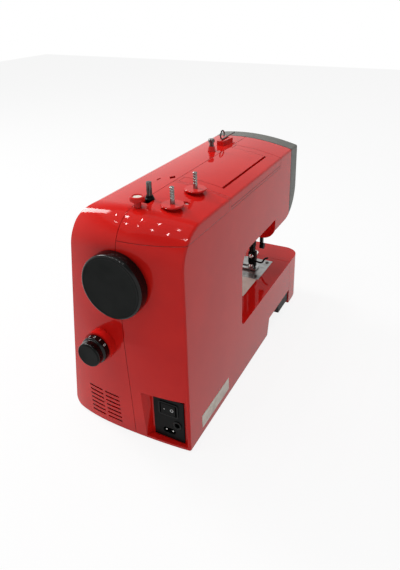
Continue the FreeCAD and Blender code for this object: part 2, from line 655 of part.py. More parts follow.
def make_shafts():
    """Main and lower shafts with their bushes, pulleys and belts."""
    wheel_x = S.end_reach + S.wheel_gap
    crank_x = SKIRT_RIGHT + 1
    node("main_shaft", rod("X", PART, SHAFT_Z, crank_x - 8, wheel_x + 8, S.shaft_radius))
    node("lower_shaft", rod("X", NEEDLE_Y, LOWER_Z, NEEDLE_X - 5, S.timing_x + 40, S.lower_radius))
    bushes = [turned(x, PART, SHAFT_Z, "X", ring(S.shaft_radius + S.running, BUSH, S.bush_length))
              for x in MAIN_BUSHES]
    bushes += [turned(x, NEEDLE_Y, LOWER_Z, "X",
                      ring(S.lower_radius + S.running, LOWER_BUSH, S.bush_length)) for x in LOWER_BUSHES]
    group("shaft_bushes", bushes)
    crank = fuse(turned(crank_x - 8, PART, SHAFT_Z, "X", ring(S.shaft_radius, 20, 8)),
                 rod("X", PART, SHAFT_Z + 14, crank_x - 13, crank_x - 8, 3))
    node("crank_disc", crank)
    node("belt_pulley", turned(S.belt_x, PART, SHAFT_Z, "X",
                               flanged(S.shaft_radius, S.pulley_radius, S.belt_width)))
    node("motor_pulley", turned(S.belt_x, MOTOR_Y, S.motor_height, "X",
                                flanged(2.5, S.motor_pulley, S.belt_width)))
    node("upper_timing_pulley", turned(S.timing_x, PART, SHAFT_Z, "X",
                                       flanged(S.shaft_radius, S.timing_radius, S.belt_width)))
    node("lower_timing_pulley", turned(S.timing_x, NEEDLE_Y, LOWER_Z, "X",
                                       flanged(S.lower_radius, S.timing_radius, S.belt_width)))
    belt("drive_belt", S.belt_x, (MOTOR_Y, S.motor_height, S.motor_pulley), S.pulley_radius,
         (PART, SHAFT_Z))
    belt("timing_belt", S.timing_x, (NEEDLE_Y, LOWER_Z, S.timing_radius), S.timing_radius,
         (PART, SHAFT_Z))
    node("motor", fuse(turned(S.frame_right + 2 - S.motor_length, MOTOR_Y, S.motor_height, "X",
                              [(0, 0), (0, 18), (4, S.motor_radius), (S.motor_length - 4, S.motor_radius),
                               (S.motor_length, 18), (S.motor_length, 0)]),
                       rod("X", MOTOR_Y, S.motor_height, S.frame_right + 2, S.belt_x + S.belt_width, 2.4)))


def ring(inner, outer, length):
    return [(0, inner), (0, outer), (length, outer), (length, inner)]


def flanged(bore, radius, width):
    """A pulley's half section: a hub with a raised rim on each side of the belt's track."""
    rim = as_size(radius) + 2.5
    return [(0, bore), (0, rim), (1.2, rim), (1.2, radius), (as_size(width) - 1.2, radius),
            (as_size(width) - 1.2, rim), (width, rim), (width, bore)]


def loop(small, large, hub, grow):
    """The outline round two pulleys: two arcs joined by their outer tangents."""
    first = Vector(0, as_size(hub[0]).value, as_size(hub[1]).value)
    second = Vector(0, as_size(small[0]).value, as_size(small[1]).value)
    radius_one, radius_two = as_size(large).value + grow, as_size(small[2]).value + grow
    way = second - first
    lean = math.acos((radius_one - radius_two) / way.Length)
    way.normalize()
    side = Vector(0, -way.z, way.y)
    tangent = [way * math.cos(lean) + side * (math.sin(lean) * sign) for sign in (1, -1)]
    spots = [first + tangent[0] * radius_one, second + tangent[0] * radius_two,
             second + tangent[1] * radius_two, first + tangent[1] * radius_one]
    return Part.Wire([
        Part.LineSegment(spots[0], spots[1]).toShape(),
        Part.Arc(spots[1], second + way * radius_two, spots[2]).toShape(),
        Part.LineSegment(spots[2], spots[3]).toShape(),
        Part.Arc(spots[3], first - way * radius_one, spots[0]).toShape(),
    ])


def belt(label, x, small, large, hub):
    """A flat belt that runs clear of its two pulleys by the belt gap."""
    gap, thick = SIZES["belt_gap"], SIZES["belt_thickness"]
    way = Vector(SIZES["belt_width"] - 3.4, 0, 0)
    outer, inner = (Part.Face(loop(small, large, hub, grow)).extrude(way) for grow in (gap + thick, gap))
    solid = outer.cut(inner)
    solid.translate(Vector(x.value + 1.7, 0, 0))
    feature(label, solid)


def make_wheel_and_dial():
    """Hand wheel on the main shaft and the stitch length dial in its collar."""
    x = S.end_reach + S.wheel_gap
    half = S.wheel_radius
    node("hand_wheel", cut(fuse(
        turned(x, PART, SHAFT_Z, "X",
               [(0, 0), (0, half - 1), (1, half), (S.wheel_width - 4, half),
                (S.wheel_width - 1.6, half - 1.4), (S.wheel_width - 0.4, half - 3.4),
                (S.wheel_width, half - 5.4), (S.wheel_width, 0)]),
        rod("X", PART, SHAFT_Z, x - 8, x + 1, S.hub_radius)),
        rod("X", PART, SHAFT_Z, x - 9, x + 8, S.shaft_radius)))
    start = S.collar_reach + 0.3
    cap = S.dial_disc + S.cap_length
    node("length_dial", fuse(
        turned(start, DIAL_Y, S.dial_height, "X",
               [(0, 0), (0, S.dial_radius), (S.dial_disc - 2, S.dial_radius), (S.dial_disc, S.cap_radius),
                (cap - 2.4, S.cap_radius), (cap - 0.8, S.cap_radius - 1), (cap, S.cap_radius - 3),
                (cap, 0)]),
        rod("X", DIAL_Y, S.dial_height, RECESS_X - 10, start + 1, S.dial_shaft)))


def make_needle():
    """Needle bar with its bracket, clamp, screw and needle."""
    low = S.bed_height + 37
    y = NEEDLE_Y
    half = 4.6
    node("needle_bar", cut(rod("Z", NEEDLE_X, y, low, GUIDE_HIGH + S.stroke + 8, S.needle_bar_radius),
                           rod("Z", NEEDLE_X, y, low - 1, low + 14, 1.05)))
    clamp = block(NEEDLE_X - 8, NEEDLE_X + 6, y - half, y + half, GUIDE_HIGH - 8, GUIDE_HIGH - 1)
    node("needle_bracket", cut(clamp, rod("Z", NEEDLE_X, y, 0, FAR, S.needle_bar_radius)))
    collar = cut(turned(NEEDLE_X, y, low + 0.5, "Z", ring(S.needle_bar_radius, 5, 11)),
                 rod("X", y, low + 6, NEEDLE_X, NEEDLE_X + 8, 1.3))
    screw = fuse(rod("X", y, low + 6, NEEDLE_X + 3.2, NEEDLE_X + 6, 1.25),
                 turned(NEEDLE_X + 6, y, low + 6, "X", [(0, 0), (0, 3), (6, 3), (6.6, 2.4), (6.6, 0)]))
    group("needle_clamp", [collar, screw])
    node("needle", turned(NEEDLE_X, y, low - 23, "Z",
                          [(0, 0), (4, 0.4), (23, 0.45), (24, 1), (36.5, 1), (36.5, 0)]))


def make_presser():
    """Presser bar, bracket, lifter lever, foot holder, screw, release lever and foot."""
    low, bed = S.bed_height + S.foot_lift, S.bed_height
    y = PRESSER_Y
    half = 5.4
    node("presser_bar", rod("Z", NEEDLE_X, y, bed + 12, GUIDE_HIGH + 24, S.presser_radius))
    node("presser_bracket", cut(block(NEEDLE_X - 8, NEEDLE_X + 8, y - half, y + half, GUIDE_LOW + 6.4,
                                      GUIDE_LOW + 16), rod("Z", NEEDLE_X, y, 0, FAR, S.presser_radius)))
    pivot_z, back = GUIDE_LOW + 3, FRAME_FRONT + 2
    node("lifter_lever", fuse(rod("Y", NEEDLE_X - 2, pivot_z, back + 0.3, back + 4.3, 6),
                              block(NEEDLE_X - 5, NEEDLE_X + 1, back + 0.3, back + 4.3, bed + 42, pivot_z),
                              rod("Y", NEEDLE_X - 2, bed + 42, back + 0.3, back + 6.3, 4.5)))
    node("foot_holder", cut(fuse(block(NEEDLE_X - 4.5, NEEDLE_X + 4.5, y - 5, y + 6, bed + 12, bed + 30),
                                 block(NEEDLE_X - 3, NEEDLE_X + 3, y - 5, y + 6, bed + 5, bed + 12.5)),
                            rod("Z", NEEDLE_X, y, bed + 12, FAR, S.presser_radius),
                            rod("X", y, bed + 7.5, NEEDLE_X - 9, NEEDLE_X + 9, 1.5 + S.running)))
    node("foot_screw", fuse(rod("X", y + 1, bed + 22, NEEDLE_X - 7, NEEDLE_X - 4.5, 1.6),
                            turned(NEEDLE_X - 14, y + 1, bed + 22, "X",
                                   [(0, 0), (0, 4), (1, 4.6), (6, 4.6), (7, 4), (7, 0)])))
    lever = y + 6.3
    side = (NEEDLE_X - 2, NEEDLE_X + 2)
    node("release_lever", fuse(rod("X", lever + 1.2, bed + 13.5, NEEDLE_X - 2.5, NEEDLE_X + 2.5, 1.3),
                               block(*side, lever + 1, lever + 12, bed + 12.5, bed + 14.5),
                               block(*side, lever + 10, lever + 12, bed + 12.5, bed + 21),
                               rod("X", lever + 12, bed + 21, *side, 1.4)))
    sole = [(NEEDLE_X - 9, y - 24), (NEEDLE_X - 3, y - 26), (NEEDLE_X - 2.5, y - 14),
            (NEEDLE_X + 2.5, y - 14), (NEEDLE_X + 3, y - 26), (NEEDLE_X + 9, y - 24), (NEEDLE_X + 8, y + 9),
            (NEEDLE_X - 8, y + 9)]
    ears = [block(x, x + 2.5, y - 4, y + 4, low + 1.5, bed + 10) for x in (NEEDLE_X - 6, NEEDLE_X + 3.5)]
    slot = block(NEEDLE_X - 3, NEEDLE_X + 3, y - 16, y - 7, low - 1, low + 4)
    foot = cut(fuse(plate(sole, low, 2), *ears), slot)
    node("presser_foot", fuse(foot, rod("X", y, bed + 7.5, NEEDLE_X - 6, NEEDLE_X + 6, 1.5)))


def make_feed():
    """Needle plate with its screws, feed dog, shuttle race, hook, bobbin case and bobbin."""
    right = PLATE_LEFT + S.plate_width
    front = PLATE_REAR - S.plate_depth
    top = S.bed_height
    thick = S.plate_thickness
    body = block(PLATE_LEFT, right, front, PLATE_REAR, top - thick, top)
    slots = [block(x, x + 4, NEEDLE_Y - 12, NEEDLE_Y + 18, top - 5, top + 5)
             for x in (NEEDLE_X - 10, NEEDLE_X + 6)]
    hole = rod("Z", NEEDLE_X, NEEDLE_Y, top - 5, top + 5, 2.5)
    spots = [(x, y) for x in (PLATE_LEFT + 7, right - 7) for y in (front + 5, PLATE_REAR - 7)]
    screw_holes = [rod("Z", x, y, top - 5, top + 5, 1.7) for x, y in spots[1::2]]
    node("needle_plate", cut(body, *slots, hole, *screw_holes))
    screw = [(0, 0), (0, 1.65), (8, 1.65), (8, 3.2), (9.2, 2.4), (9.2, 0)]
    group("plate_screws", [turned(x, y, top - 8, "Z", screw) for x, y in spots[1::2]])
    teeth = [block(x, x + 3, NEEDLE_Y - 6, NEEDLE_Y + 13, top - 10, top - 0.3)
             for x in (NEEDLE_X - 9.5, NEEDLE_X + 6.5)]
    bridge = block(NEEDLE_X - 9.5, NEEDLE_X + 9.5, NEEDLE_Y + 6, NEEDLE_Y + 13, top - 10, top - 7)
    notches = [block(NEEDLE_X - 20, NEEDLE_X + 20, NEEDLE_Y - 5 + 2 * step, NEEDLE_Y - 4 + 2 * step,
                     top - 1.2, top) for step in range(9)]
    node("feed_dog", cut(fuse(bridge, *teeth), *notches))
    start = ARM_END + 8
    inner = S.race_radius - S.race_wall
    race = fuse(turned(start, NEEDLE_Y, LOWER_Z, "X", ring(inner, S.race_radius, S.race_width)),
                block(start, start + 8, NEEDLE_Y + inner + 0.5, FRAME_FRONT, LOWER_Z - 5, LOWER_Z + 5))
    node("shuttle_race", race)
    node("bobbin_case", turned(start + 1, NEEDLE_Y, LOWER_Z, "X",
                               [(0, S.bobbin_radius + 0.3), (0, inner - 0.3), (12, inner - 0.3), (12, 3),
                                (10.5, 3), (10.5, S.bobbin_radius + 0.3)]))
    rim = S.bobbin_radius
    node("bobbin", turned(start + 1.2, NEEDLE_Y, LOWER_Z, "X",
                          [(0, 3), (0, rim), (1, rim), (1, 4.2), (9, 4.2), (9, rim), (10, rim), (10, 3)]))
    hook = start + S.race_width
    reach = NEEDLE_X - 5 - hook - 0.5
    node("shuttle_hook", turned(hook + 0.5, NEEDLE_Y, LOWER_Z, "X",
                                [(0, 0), (0, 12), (3, 15), (4, 15), (5, 6), (reach, 6), (reach, 0)]))


def make_take_up():
    """Take-up lever on its pivot behind the head's front slot."""
    left = NEEDLE_X + S.guide_width - 10
    x = NEEDLE_X + 7
    pivot_y, pivot_z = TAKE_UP_Y, GUIDE_HIGH + 3
    reach = pivot_y - front_at(pivot_z.value) + S.take_up_out
    arm = DOC.addObject("Part::Box", "arm")
    bind(arm, Length=S.take_up_thick, Width=reach, Height=S.take_up_deep)
    spot = Vector(x.value, pivot_y.value, pivot_z.value)
    arm.Placement = Placement(spot, Rotation(Vector(1, 0, 0), 162))
    bind(arm, Placement__Base__x=x, Placement__Base__y=pivot_y, Placement__Base__z=pivot_z)
    eye = rod("X", pivot_y - reach + 4, pivot_z + 14, x - 1, x + 4, 1.4)
    hub = rod("X", pivot_y, pivot_z, x, x + 3.5, 6)
    node("take_up_lever", cut(fuse(arm, hub, rod("X", pivot_y, pivot_z, x, left, 2)), eye))


LAMP_Y = TAKE_UP_Y - 10


def make_front_controls():
    """Tension dial, pattern dial, reverse lever and the work lamp."""
    dials = (("tension_dial", S.tension_x, S.tension_height, S.tension_radius, 12),
             ("pattern_dial", S.pattern_x, S.pattern_height, S.pattern_radius, 15))
    for label, x, z, radius, tall in dials:
        section = [(-12, 0), (-12, 5), (0.6, 5), (0.6, radius), (3, radius), (4, radius - 1),
                   (tall - 1.5, radius - 2), (tall, radius - 4), (tall, 0)]
        dial = turned(0, 0, 0, "Z", section)
        node(label, place(dial, x, front_at(z.value), z, "front"))
    z = S.reverse_height
    face = front_at(z.value)
    node("reverse_lever", fuse(rod("X", face + 6, z, S.pattern_x - 8.5, S.pattern_x + 8.5, 5),
                               block(S.pattern_x - 8, S.pattern_x + 8, face - 9, face + 6, z - 3, z + 3),
                               rod("X", face - 9, z, S.pattern_x - 8, S.pattern_x + 8, 3)))
    bulb = [(0, 0), (0, 8), (1, 9), (4, 9), (4, 11), (6, 11), (6, 0)]
    node("work_lamp", turned(S.tension_x, LAMP_Y, ARM_UNDER - 1, "Z", bulb))


def make_power():
    """Mains panel with its rocker switch and inlet pins."""
    x = RECESS_X
    rear = PANEL_Y + S.panel_width
    top = S.panel_low + S.panel_height
    face = x + S.panel_plate
    panel = fuse(block(x, face, PANEL_Y, rear, S.panel_low, top),
                 block(x - S.panel_body, x + 0.5, PANEL_Y + 3.5, rear - 3.5, S.panel_low + 3.5, top - 3.5))
    rocker_z = top - 15
    pin_z = S.panel_low + 11
    wide, tall = S.rocker_width / 2, S.rocker_height / 2
    window = block(x - 12, face + 1, PANEL_MID - wide, PANEL_MID + wide, rocker_z - tall, rocker_z + tall)
    spots = (PANEL_MID - S.pin_gap / 2, PANEL_MID + S.pin_gap / 2)
    inlet = [block(x - 10, face + 1, spots[0], spots[1], pin_z - 3.8, pin_z + 3.8)]
    inlet += [rod("X", y, pin_z, x - 10, face + 1, 3.8) for y in spots]
    jack = rod("X", rear - 9, S.panel_low + 23, x - 14, face + 1, S.jack_radius)
    node("power_panel", cut(panel, window, *inlet, jack))
    pin = [(0, 0), (0, S.pin_radius), (8, S.pin_radius), (9, 0.5), (9, 0)]
    group("inlet_pins", [turned(x - 10, y, pin_z, "X", pin) for y in spots])
    low, high = rocker_z - tall + 0.3, rocker_z + tall - 0.3
    paddle = block(x - 3, face + 1.2, PANEL_MID - wide + 1.5, PANEL_MID + wide - 1.5, low, high)
    node("rocker_switch", fuse(rod("Z", x - 3, PANEL_MID, low, high, 4), paddle))


def make_top_fittings():
    """Spool pins with their discs, bobbin winder, stopper, thread post and wire guide."""
    seat = as_size(SPOOL_SEAT)
    lefts = {"spool_pin_right": S.spool_right, "spool_pin_left": S.spool_right - S.spool_pitch}
    radius = S.spool_radius
    for label, x in lefts.items():
        grooves = []
        for step in range(4):
            level = S.spool_tail + S.spool_rise - 13 + step * 3
            grooves += [(level, radius), (level + 0.6, radius - 0.5), (level + 1.2, radius - 0.5),
                        (level + 1.8, radius)]
        top = S.spool_tail + S.spool_rise
        section = [(0, 0), (0, radius), *grooves, (top - 0.9, radius), (top - 0.3, radius - 0.7),
                   (top, radius - 1.6), (top, 0)]
        node(label, turned(x, SPOOL_Y, seat - S.spool_tail, "Z", section))
    bore, wide, thick = radius + 0.3, S.disc_radius, S.disc_thickness
    disc = [(0, bore), (0, wide - 0.6), (0.6, wide), (thick - 0.6, wide), (thick, wide - 0.6), (thick, bore)]
    group("spool_discs", [turned(x, SPOOL_Y, seat, "Z", disc) for x in lefts.values()])
    level, top = WINDER_LEVEL, WINDER_LEVEL + S.winder_plate
    x, y, pivot, half = S.winder_x, WINDER_Y, WINDER_Y - S.winder_throw, S.winder_arm
    arm = fuse(block(x - half, x + half, pivot, y, level, top), rod("Z", x, y, level, top, half),
               rod("Z", x, pivot, level, top, half))
    node("winder_arm", cut(arm, rod("Z", x, y, level - 1, top + 1, S.winder_radius + S.running),
                           rod("Z", x, pivot, level - 1, top + 1, 2.5 + S.running)))
    rise = crown(y.value) + S.winder_rise - level
    node("winder_spindle", turned(x, y, level - 9, "Z",
                                  [(0, 0), (0, 12), (1, 13), (6, 13), (7, 12), (8.6, 12),
                                   (8.6, S.winder_radius), (rise + 3, S.winder_radius), (rise + 4, 2.2),
                                   (rise + 8, 2), (rise + 9, 1.2), (rise + 9, 0)]))
    node("winder_stopper", turned(S.stopper_x, y, crown(y.value) + SEAT_GAP, "Z",
                                  [(0, 0), (0, 4), (6, 3.6), (6.4, 7), (7.4, 8), (11, 8), (12, 7.2),
                                   (12, 5.6), (10.6, 5), (10.6, 0)]))
    post = crown(POST_Y.value) + SEAT_GAP
    node("thread_post", turned(S.post_x, POST_Y, post, "Z",
                               [(0, 0), (0, 5.5), (7, 4), (7, 3), (12, 3), (12.6, 4.4), (16, 4.4),
                                (16.8, 3.6), (16.8, 0)]))
    make_wire_guide()


def make_wire_guide():
    """A bent wire on the guide block: a long run that curls up into a loop over the block's right end."""
    wire, curl = SIZES["wire_radius"], SIZES["wire_curl"]
    x, y = SIZES["guide_x"], GUIDE_Y.value
    low = crown(y) + SIZES["guide_rise"] + wire
    start, turn = Vector(x - SIZES["wire_run"], y, low), Vector(x + 4, y, low)
    centre = turn + Vector(0, 0, curl)
    spot = lambda angle: centre + Vector(math.cos(angle), 0, math.sin(angle)) * curl
    path = Part.Wire([
        Part.LineSegment(start, turn).toShape(),
        Part.Arc(turn, spot(0), spot(math.pi / 2)).toShape(),
        Part.Arc(spot(math.pi / 2), spot(math.radians(150)), spot(math.radians(215))).toShape(),
    ])
    section = Part.Wire(Part.makeCircle(wire, start, Vector(1, 0, 0)))
    feature("wire_guide", path.makePipeShell([section], True, False))


def check_and_write():
    DOC.recompute()
    failed = [item.Label for item in DOC.Objects if "Invalid" in item.State or "Error" in item.State]
    bad = [item.Label for item in NODES if item.Shape.isNull() or not item.Shape.isValid()]
    if failed or bad:
        raise RuntimeError(f"failed objects {failed}, bad shapes {bad}")
    os.makedirs("parts", exist_ok=True)
    for item in NODES:
        item.Shape.exportStep(f"parts/{item.Label}.step")
        print(item.Label, len(item.Shape.Solids), round(item.Shape.Volume))


make_casing()
make_accessory_box()
make_base()
make_frame()
make_shafts()
make_wheel_and_dial()
make_needle()
make_presser()
make_feed()
make_take_up()
make_front_controls()
make_power()
make_top_fittings()
check_and_write()
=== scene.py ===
"""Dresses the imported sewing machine: red casing, black controls, steel fittings and a plain studio."""
import logging
import math
from dataclasses import dataclass
from enum import Enum
from typing import Any, Callable, Sequence

import bmesh
import bpy
import numpy as np
from mathutils import Matrix, Vector


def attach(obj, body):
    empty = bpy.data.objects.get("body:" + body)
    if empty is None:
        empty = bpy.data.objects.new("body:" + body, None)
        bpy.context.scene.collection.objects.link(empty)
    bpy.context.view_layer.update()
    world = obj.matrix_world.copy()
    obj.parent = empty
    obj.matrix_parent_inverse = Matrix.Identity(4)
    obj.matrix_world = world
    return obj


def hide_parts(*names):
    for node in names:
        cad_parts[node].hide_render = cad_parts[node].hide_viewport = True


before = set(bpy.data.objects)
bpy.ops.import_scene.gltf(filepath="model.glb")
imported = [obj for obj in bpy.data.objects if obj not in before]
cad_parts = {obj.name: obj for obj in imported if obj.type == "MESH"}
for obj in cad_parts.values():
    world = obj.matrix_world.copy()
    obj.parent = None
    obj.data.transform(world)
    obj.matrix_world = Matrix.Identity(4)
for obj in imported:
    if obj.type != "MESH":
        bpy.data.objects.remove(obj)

LOG = logging.getLogger("sewing_machine")
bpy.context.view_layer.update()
MM = 0.001

Colour = tuple[float, float, float]
Array = np.ndarray


def srgb(red: int, green: int, blue: int) -> Colour:
    """A display colour of 0 to 255 as linear light, by the sRGB curve.

    Args:
        red: red level.
        green: green level.
        blue: blue level.

    Returns:
        The three linear levels.
    """
    level = np.array([red, green, blue]) / 255
    linear = np.where(level <= 0.04045, level / 12.92, ((level + 0.055) / 1.055) ** 2.4)
    return tuple(float(item) for item in linear)


class Axis(Enum):
    """The way a turned piece points: the rows are its along, across and third directions.

    FRONT leans back by 8.3 degrees, as the casing's front does.
    """

    X = ((1, 0, 0), (0, 1, 0), (0, 0, 1))
    Z = ((0, 0, 1), (1, 0, 0), (0, 1, 0))
    FRONT = ((0, -0.98953, 0.14436), (1, 0, 0), (0, 0.14436, 0.98953))


class Side(Enum):
    """The face of the machine that a flat piece lies on: the rows are its across and up directions."""

    END = ((0, 1, 0), (0, 0, 1))
    REAR = ((-1, 0, 0), (0, 0, 1))
    TOP = ((1, 0, 0), (0, 1, 0))


def placed(name: str, data: bpy.types.ID) -> bpy.types.Object:
    """A new object of that data in the scene, at the origin."""
    made = bpy.data.objects.new(name, data)
    bpy.context.scene.collection.objects.link(made)
    return made


class Wire:
    """A shader socket that takes part in Python arithmetic by adding Math nodes."""

    def __init__(self, graph: "Graph", socket: bpy.types.NodeSocket) -> None:
        """Keep the socket and the graph that it belongs to."""
        self.graph = graph
        self.socket = socket

    def _join(self, operation: str, first: Any, second: Any) -> "Wire":
        """One Math node of that operation on two values."""
        return self.graph.node("ShaderNodeMath", {"operation": operation}, {0: first, 1: second})

    def __add__(self, other: Any) -> "Wire":
        """Sum."""
        return self._join("ADD", self, other)

    __radd__ = __add__

    def __sub__(self, other: Any) -> "Wire":
        """Difference."""
        return self._join("SUBTRACT", self, other)

    def __rsub__(self, other: Any) -> "Wire":
        """Reflected difference, as in 1 - mask."""
        return self._join("SUBTRACT", other, self)

    def __mul__(self, other: Any) -> "Wire":
        """Product."""
        return self._join("MULTIPLY", self, other)

    __rmul__ = __mul__

    def __pow__(self, other: Any) -> "Wire":
        """Power."""
        return self._join("POWER", self, other)

    def __gt__(self, other: Any) -> "Wire":
        """1 where this value is the larger."""
        return self._join("GREATER_THAN", self, other)

    def __lt__(self, other: Any) -> "Wire":
        """1 where this value is the smaller."""
        return self._join("LESS_THAN", self, other)

    def __abs__(self) -> "Wire":
        """Size without sign."""
        return self._join("ABSOLUTE", self, 0)

    def near(self, place_mm: float, half_mm: float) -> "Wire":
        """1 on a plane across this coordinate, fading out over half a millimetre beyond half_mm."""
        return 1 - abs(self - place_mm * MM).ramp(half_mm * MM, (half_mm + 0.5) * MM)

    def ramp(self, low: float, high: float) -> "Wire":
        """0 at low and 1 at high, smooth between."""
        sockets = {"Value": self, "From Min": low, "From Max": high}
        return self.graph.node("ShaderNodeMapRange", {"interpolation_type": "SMOOTHSTEP"}, sockets)


class Graph:
    """The node tree of one material or of the world."""

    def __init__(self, owner: bpy.types.Material | bpy.types.World) -> None:
        """Start with an empty tree."""
        owner.use_nodes = True
        self.tree = owner.node_tree
        self.tree.nodes.clear()

    def node(self, kind: str, settings: dict[str, Any] | None = None, sockets: dict[Any, Any] | None = None,
             output: Any = 0) -> Wire:
        """Add any node.

        Args:
            kind: the node's type.
            settings: its own settings, set first.
            sockets: values or wires for its inputs, by name or number.
            output: the output to hand back.

        Returns:
            The chosen output as a wire.
        """
        made = self.tree.nodes.new(kind)
        for key, value in (settings or {}).items():
            setattr(made, key, value)
        for key, value in (sockets or {}).items():
            if isinstance(value, Wire):
                self.tree.links.new(value.socket, made.inputs[key])
            else:
                made.inputs[key].default_value = value
        return Wire(self, made.outputs[output])

    def place(self) -> Wire:
        """Object coordinates, in metres in the machine's frame."""
        return self.node("ShaderNodeTexCoord", output="Object")

    def axes(self) -> tuple[Wire, Wire, Wire]:
        """The three Object coordinates apart."""
        split = self.node("ShaderNodeSeparateXYZ", sockets={0: self.place()})
        outputs = split.socket.node.outputs
        return tuple(Wire(self, outputs[index]) for index in range(3))

    def noise(self, size_mm: float, detail: float = 3, stretch: Sequence[float] = (1, 1, 1)) -> Wire:
        """Noise of about that grain size, drawn out along the axes by stretch.

        Args:
            size_mm: the size of one blotch.
            detail: number of finer layers.
            stretch: how long a blotch is along each axis.

        Returns:
            Levels of about 0 to 1.
        """
        scale = tuple(1 / item for item in stretch)
        mapped = self.node("ShaderNodeMapping", sockets={"Vector": self.place(), "Scale": scale})
        return self.node("ShaderNodeTexNoise",
                         sockets={"Vector": mapped, "Scale": 1 / (size_mm * MM), "Detail": detail})

    def blend(self, mask: Wire, first: Any, second: Any) -> Wire:
        """Mix two colours: the first where the mask is 0 and the second where it is 1."""
        first, second = (item if isinstance(item, Wire) else (*item, 1) for item in (first, second))
        return self.node("ShaderNodeMix", {"data_type": "RGBA"}, {0: mask, 6: first, 7: second}, 2)

    def relief(self, height: Wire, depth_mm: float) -> Wire:
        """A bump of that depth for a Normal socket."""
        return self.node("ShaderNodeBump", sockets={"Height": height, "Distance": depth_mm * MM})

    def shader(self, **sockets: Any) -> Wire:
        """One Principled shader whose sockets are named with _ for a space."""
        return self.node("ShaderNodeBsdfPrincipled",
                         sockets={key.replace("_", " "): value for key, value in sockets.items()})

    def close(self, shader: Wire, kind: str = "ShaderNodeOutputMaterial") -> None:
        """Lead a shader to the tree's output."""
        end = self.tree.nodes.new(kind)
        self.tree.links.new(shader.socket, end.inputs[0])


class Finish:
    """What the finishes share: a name, and a look that becomes a node material."""

    name: str

    def look(self, graph: Graph) -> dict[str, Any]:
        """The sockets of the finish's shader, built in a graph."""
        raise NotImplementedError

    def shader(self, graph: Graph) -> Wire:
        """The finish's shader, built in a graph."""
        return graph.shader(**self.look(graph))

    def material(self) -> bpy.types.Material:
        """The finish as a node material."""
        made = bpy.data.materials.new(self.name)
        graph = Graph(made)
        graph.close(self.shader(graph))
        return made


@dataclass(frozen=True)
class Moulded(Finish):
    """Injection moulded plastic: drifting colour, smudged gloss and a faint wavy skin."""

    name: str
    colour: Colour
    shade: Colour
    roughness: float
    gloss: float = 0.155
    smudge: float = 0.05
    skin_mm: float = 6
    skin_depth_mm: float = 0.012

    def skin(self, graph: Graph) -> Wire:
        """Height of the wavy skin with its fine moulding grain."""
        return graph.noise(self.skin_mm, 2) + graph.noise(0.5, 1) * 0.05

    def look(self, graph: Graph) -> dict[str, Any]:
        """The sockets of the finish's shader."""
        drift = graph.noise(70, 4).ramp(0.3, 0.7)
        smudges = graph.noise(16, 6, (1, 1, 2.4)).ramp(0.45, 0.75)
        dust = graph.noise(0.7, 2).ramp(0.66, 0.74)
        return {"Base_Color": graph.blend(drift, self.shade, self.colour),
                "Roughness": smudges * self.smudge + dust * 0.06 + self.roughness,
                "Specular_IOR_Level": self.gloss,
                "Normal": graph.relief(self.skin(graph), self.skin_depth_mm)}


@dataclass(frozen=True)
class Shell(Moulded):
    """Moulded plastic of the two main shells, with the fine grooves where mouldings meet, painted dark as the
    shade in their gaps.
    """

    parting_y: float = 14
    deck_z: float = 260.5
    deck_x: float = 69
    handle_ends: tuple[float, float] = (-103, 65)
    panel_ends: tuple[float, float] = (-87.4, 49.4)
    panel_rear: float = 67
    lip_z: float = 263.6
    lip_step: float = 3.4
    cover_x: float = -149.6
    # Painted shade: the dark colour laid into the seams stands in for the shadow in their gaps.
    groove_shade: Colour = srgb(52, 5, 8)

    def shaded_grooves(self, graph: Graph) -> Wire:
        """1 in the parting line, round the deck and the handle, and beside the face cover: where the gaps get
        painted shade and a sunk relief.
        """
        x, y, z = graph.axes()
        (left, right), (panel_left, panel_right) = self.handle_ends, self.panel_ends
        behind, top = y > self.parting_y * MM, z > self.lip_z * MM
        deck = z.near(self.deck_z, 0.05) * (x > self.deck_x * MM)
        deck_side = x.near(self.deck_x, 0.1) * (z > self.deck_z * MM)
        handle = (x.near(left, 0.3) + x.near(right, 0.2)) * top
        panel = (x.near(panel_left, 0.1) + x.near(panel_right, 0.1)) * top * (y < self.panel_rear * MM)
        lip = z.near(self.lip_z, 0.25) + z.near(self.lip_z - self.lip_step, 0.2)
        lip = lip * (x > left * MM) * (x < right * MM)
        lines = (deck + deck_side) * 0.7 + handle * 0.6 + panel * 0.45 + lip * 0.7
        return (y.near(self.parting_y, 0.05) * 0.6 + x.near(self.cover_x, 1.3) + behind * lines).ramp(0, 1)

    def look(self, graph: Graph) -> dict[str, Any]:
        """The sockets of the finish's shader."""
        sockets = super().look(graph)
        lines = self.shaded_grooves(graph)
        # Painted shade: the seam lines are darkened in the base colour.
        sockets["Base_Color"] = graph.blend(lines, sockets["Base_Color"], self.groove_shade)
        sockets["Roughness"] = sockets["Roughness"] + lines * 0.4
        sockets["Normal"] = graph.relief(self.skin(graph) - lines * 20, self.skin_depth_mm)
        return sockets


@dataclass(frozen=True)
class Grained(Finish):
    """Spark-eroded satin plastic: a fine pebble grain over a slightly uneven colour."""

    name: str
    colour: Colour
    shade: Colour
    roughness: float
    gloss: float = 0.25
    grain_mm: float = 0.45
    grain_depth_mm: float = 0.03

    def look(self, graph: Graph) -> dict[str, Any]:
        """The sockets of the finish's shader."""
        drift = graph.noise(30, 4).ramp(0.3, 0.7)
        pebbles = graph.node("ShaderNodeTexVoronoi", {"feature": "SMOOTH_F1"},
                             {"Vector": graph.place(), "Scale": 1 / (self.grain_mm * MM)})
        rub = graph.noise(9, 5).ramp(0.5, 0.8)
        return {"Base_Color": graph.blend(drift, self.shade, self.colour),
                "Roughness": rub * -0.1 + self.roughness, "Specular_IOR_Level": self.gloss,
                "Normal": graph.relief(pebbles, self.grain_depth_mm)}


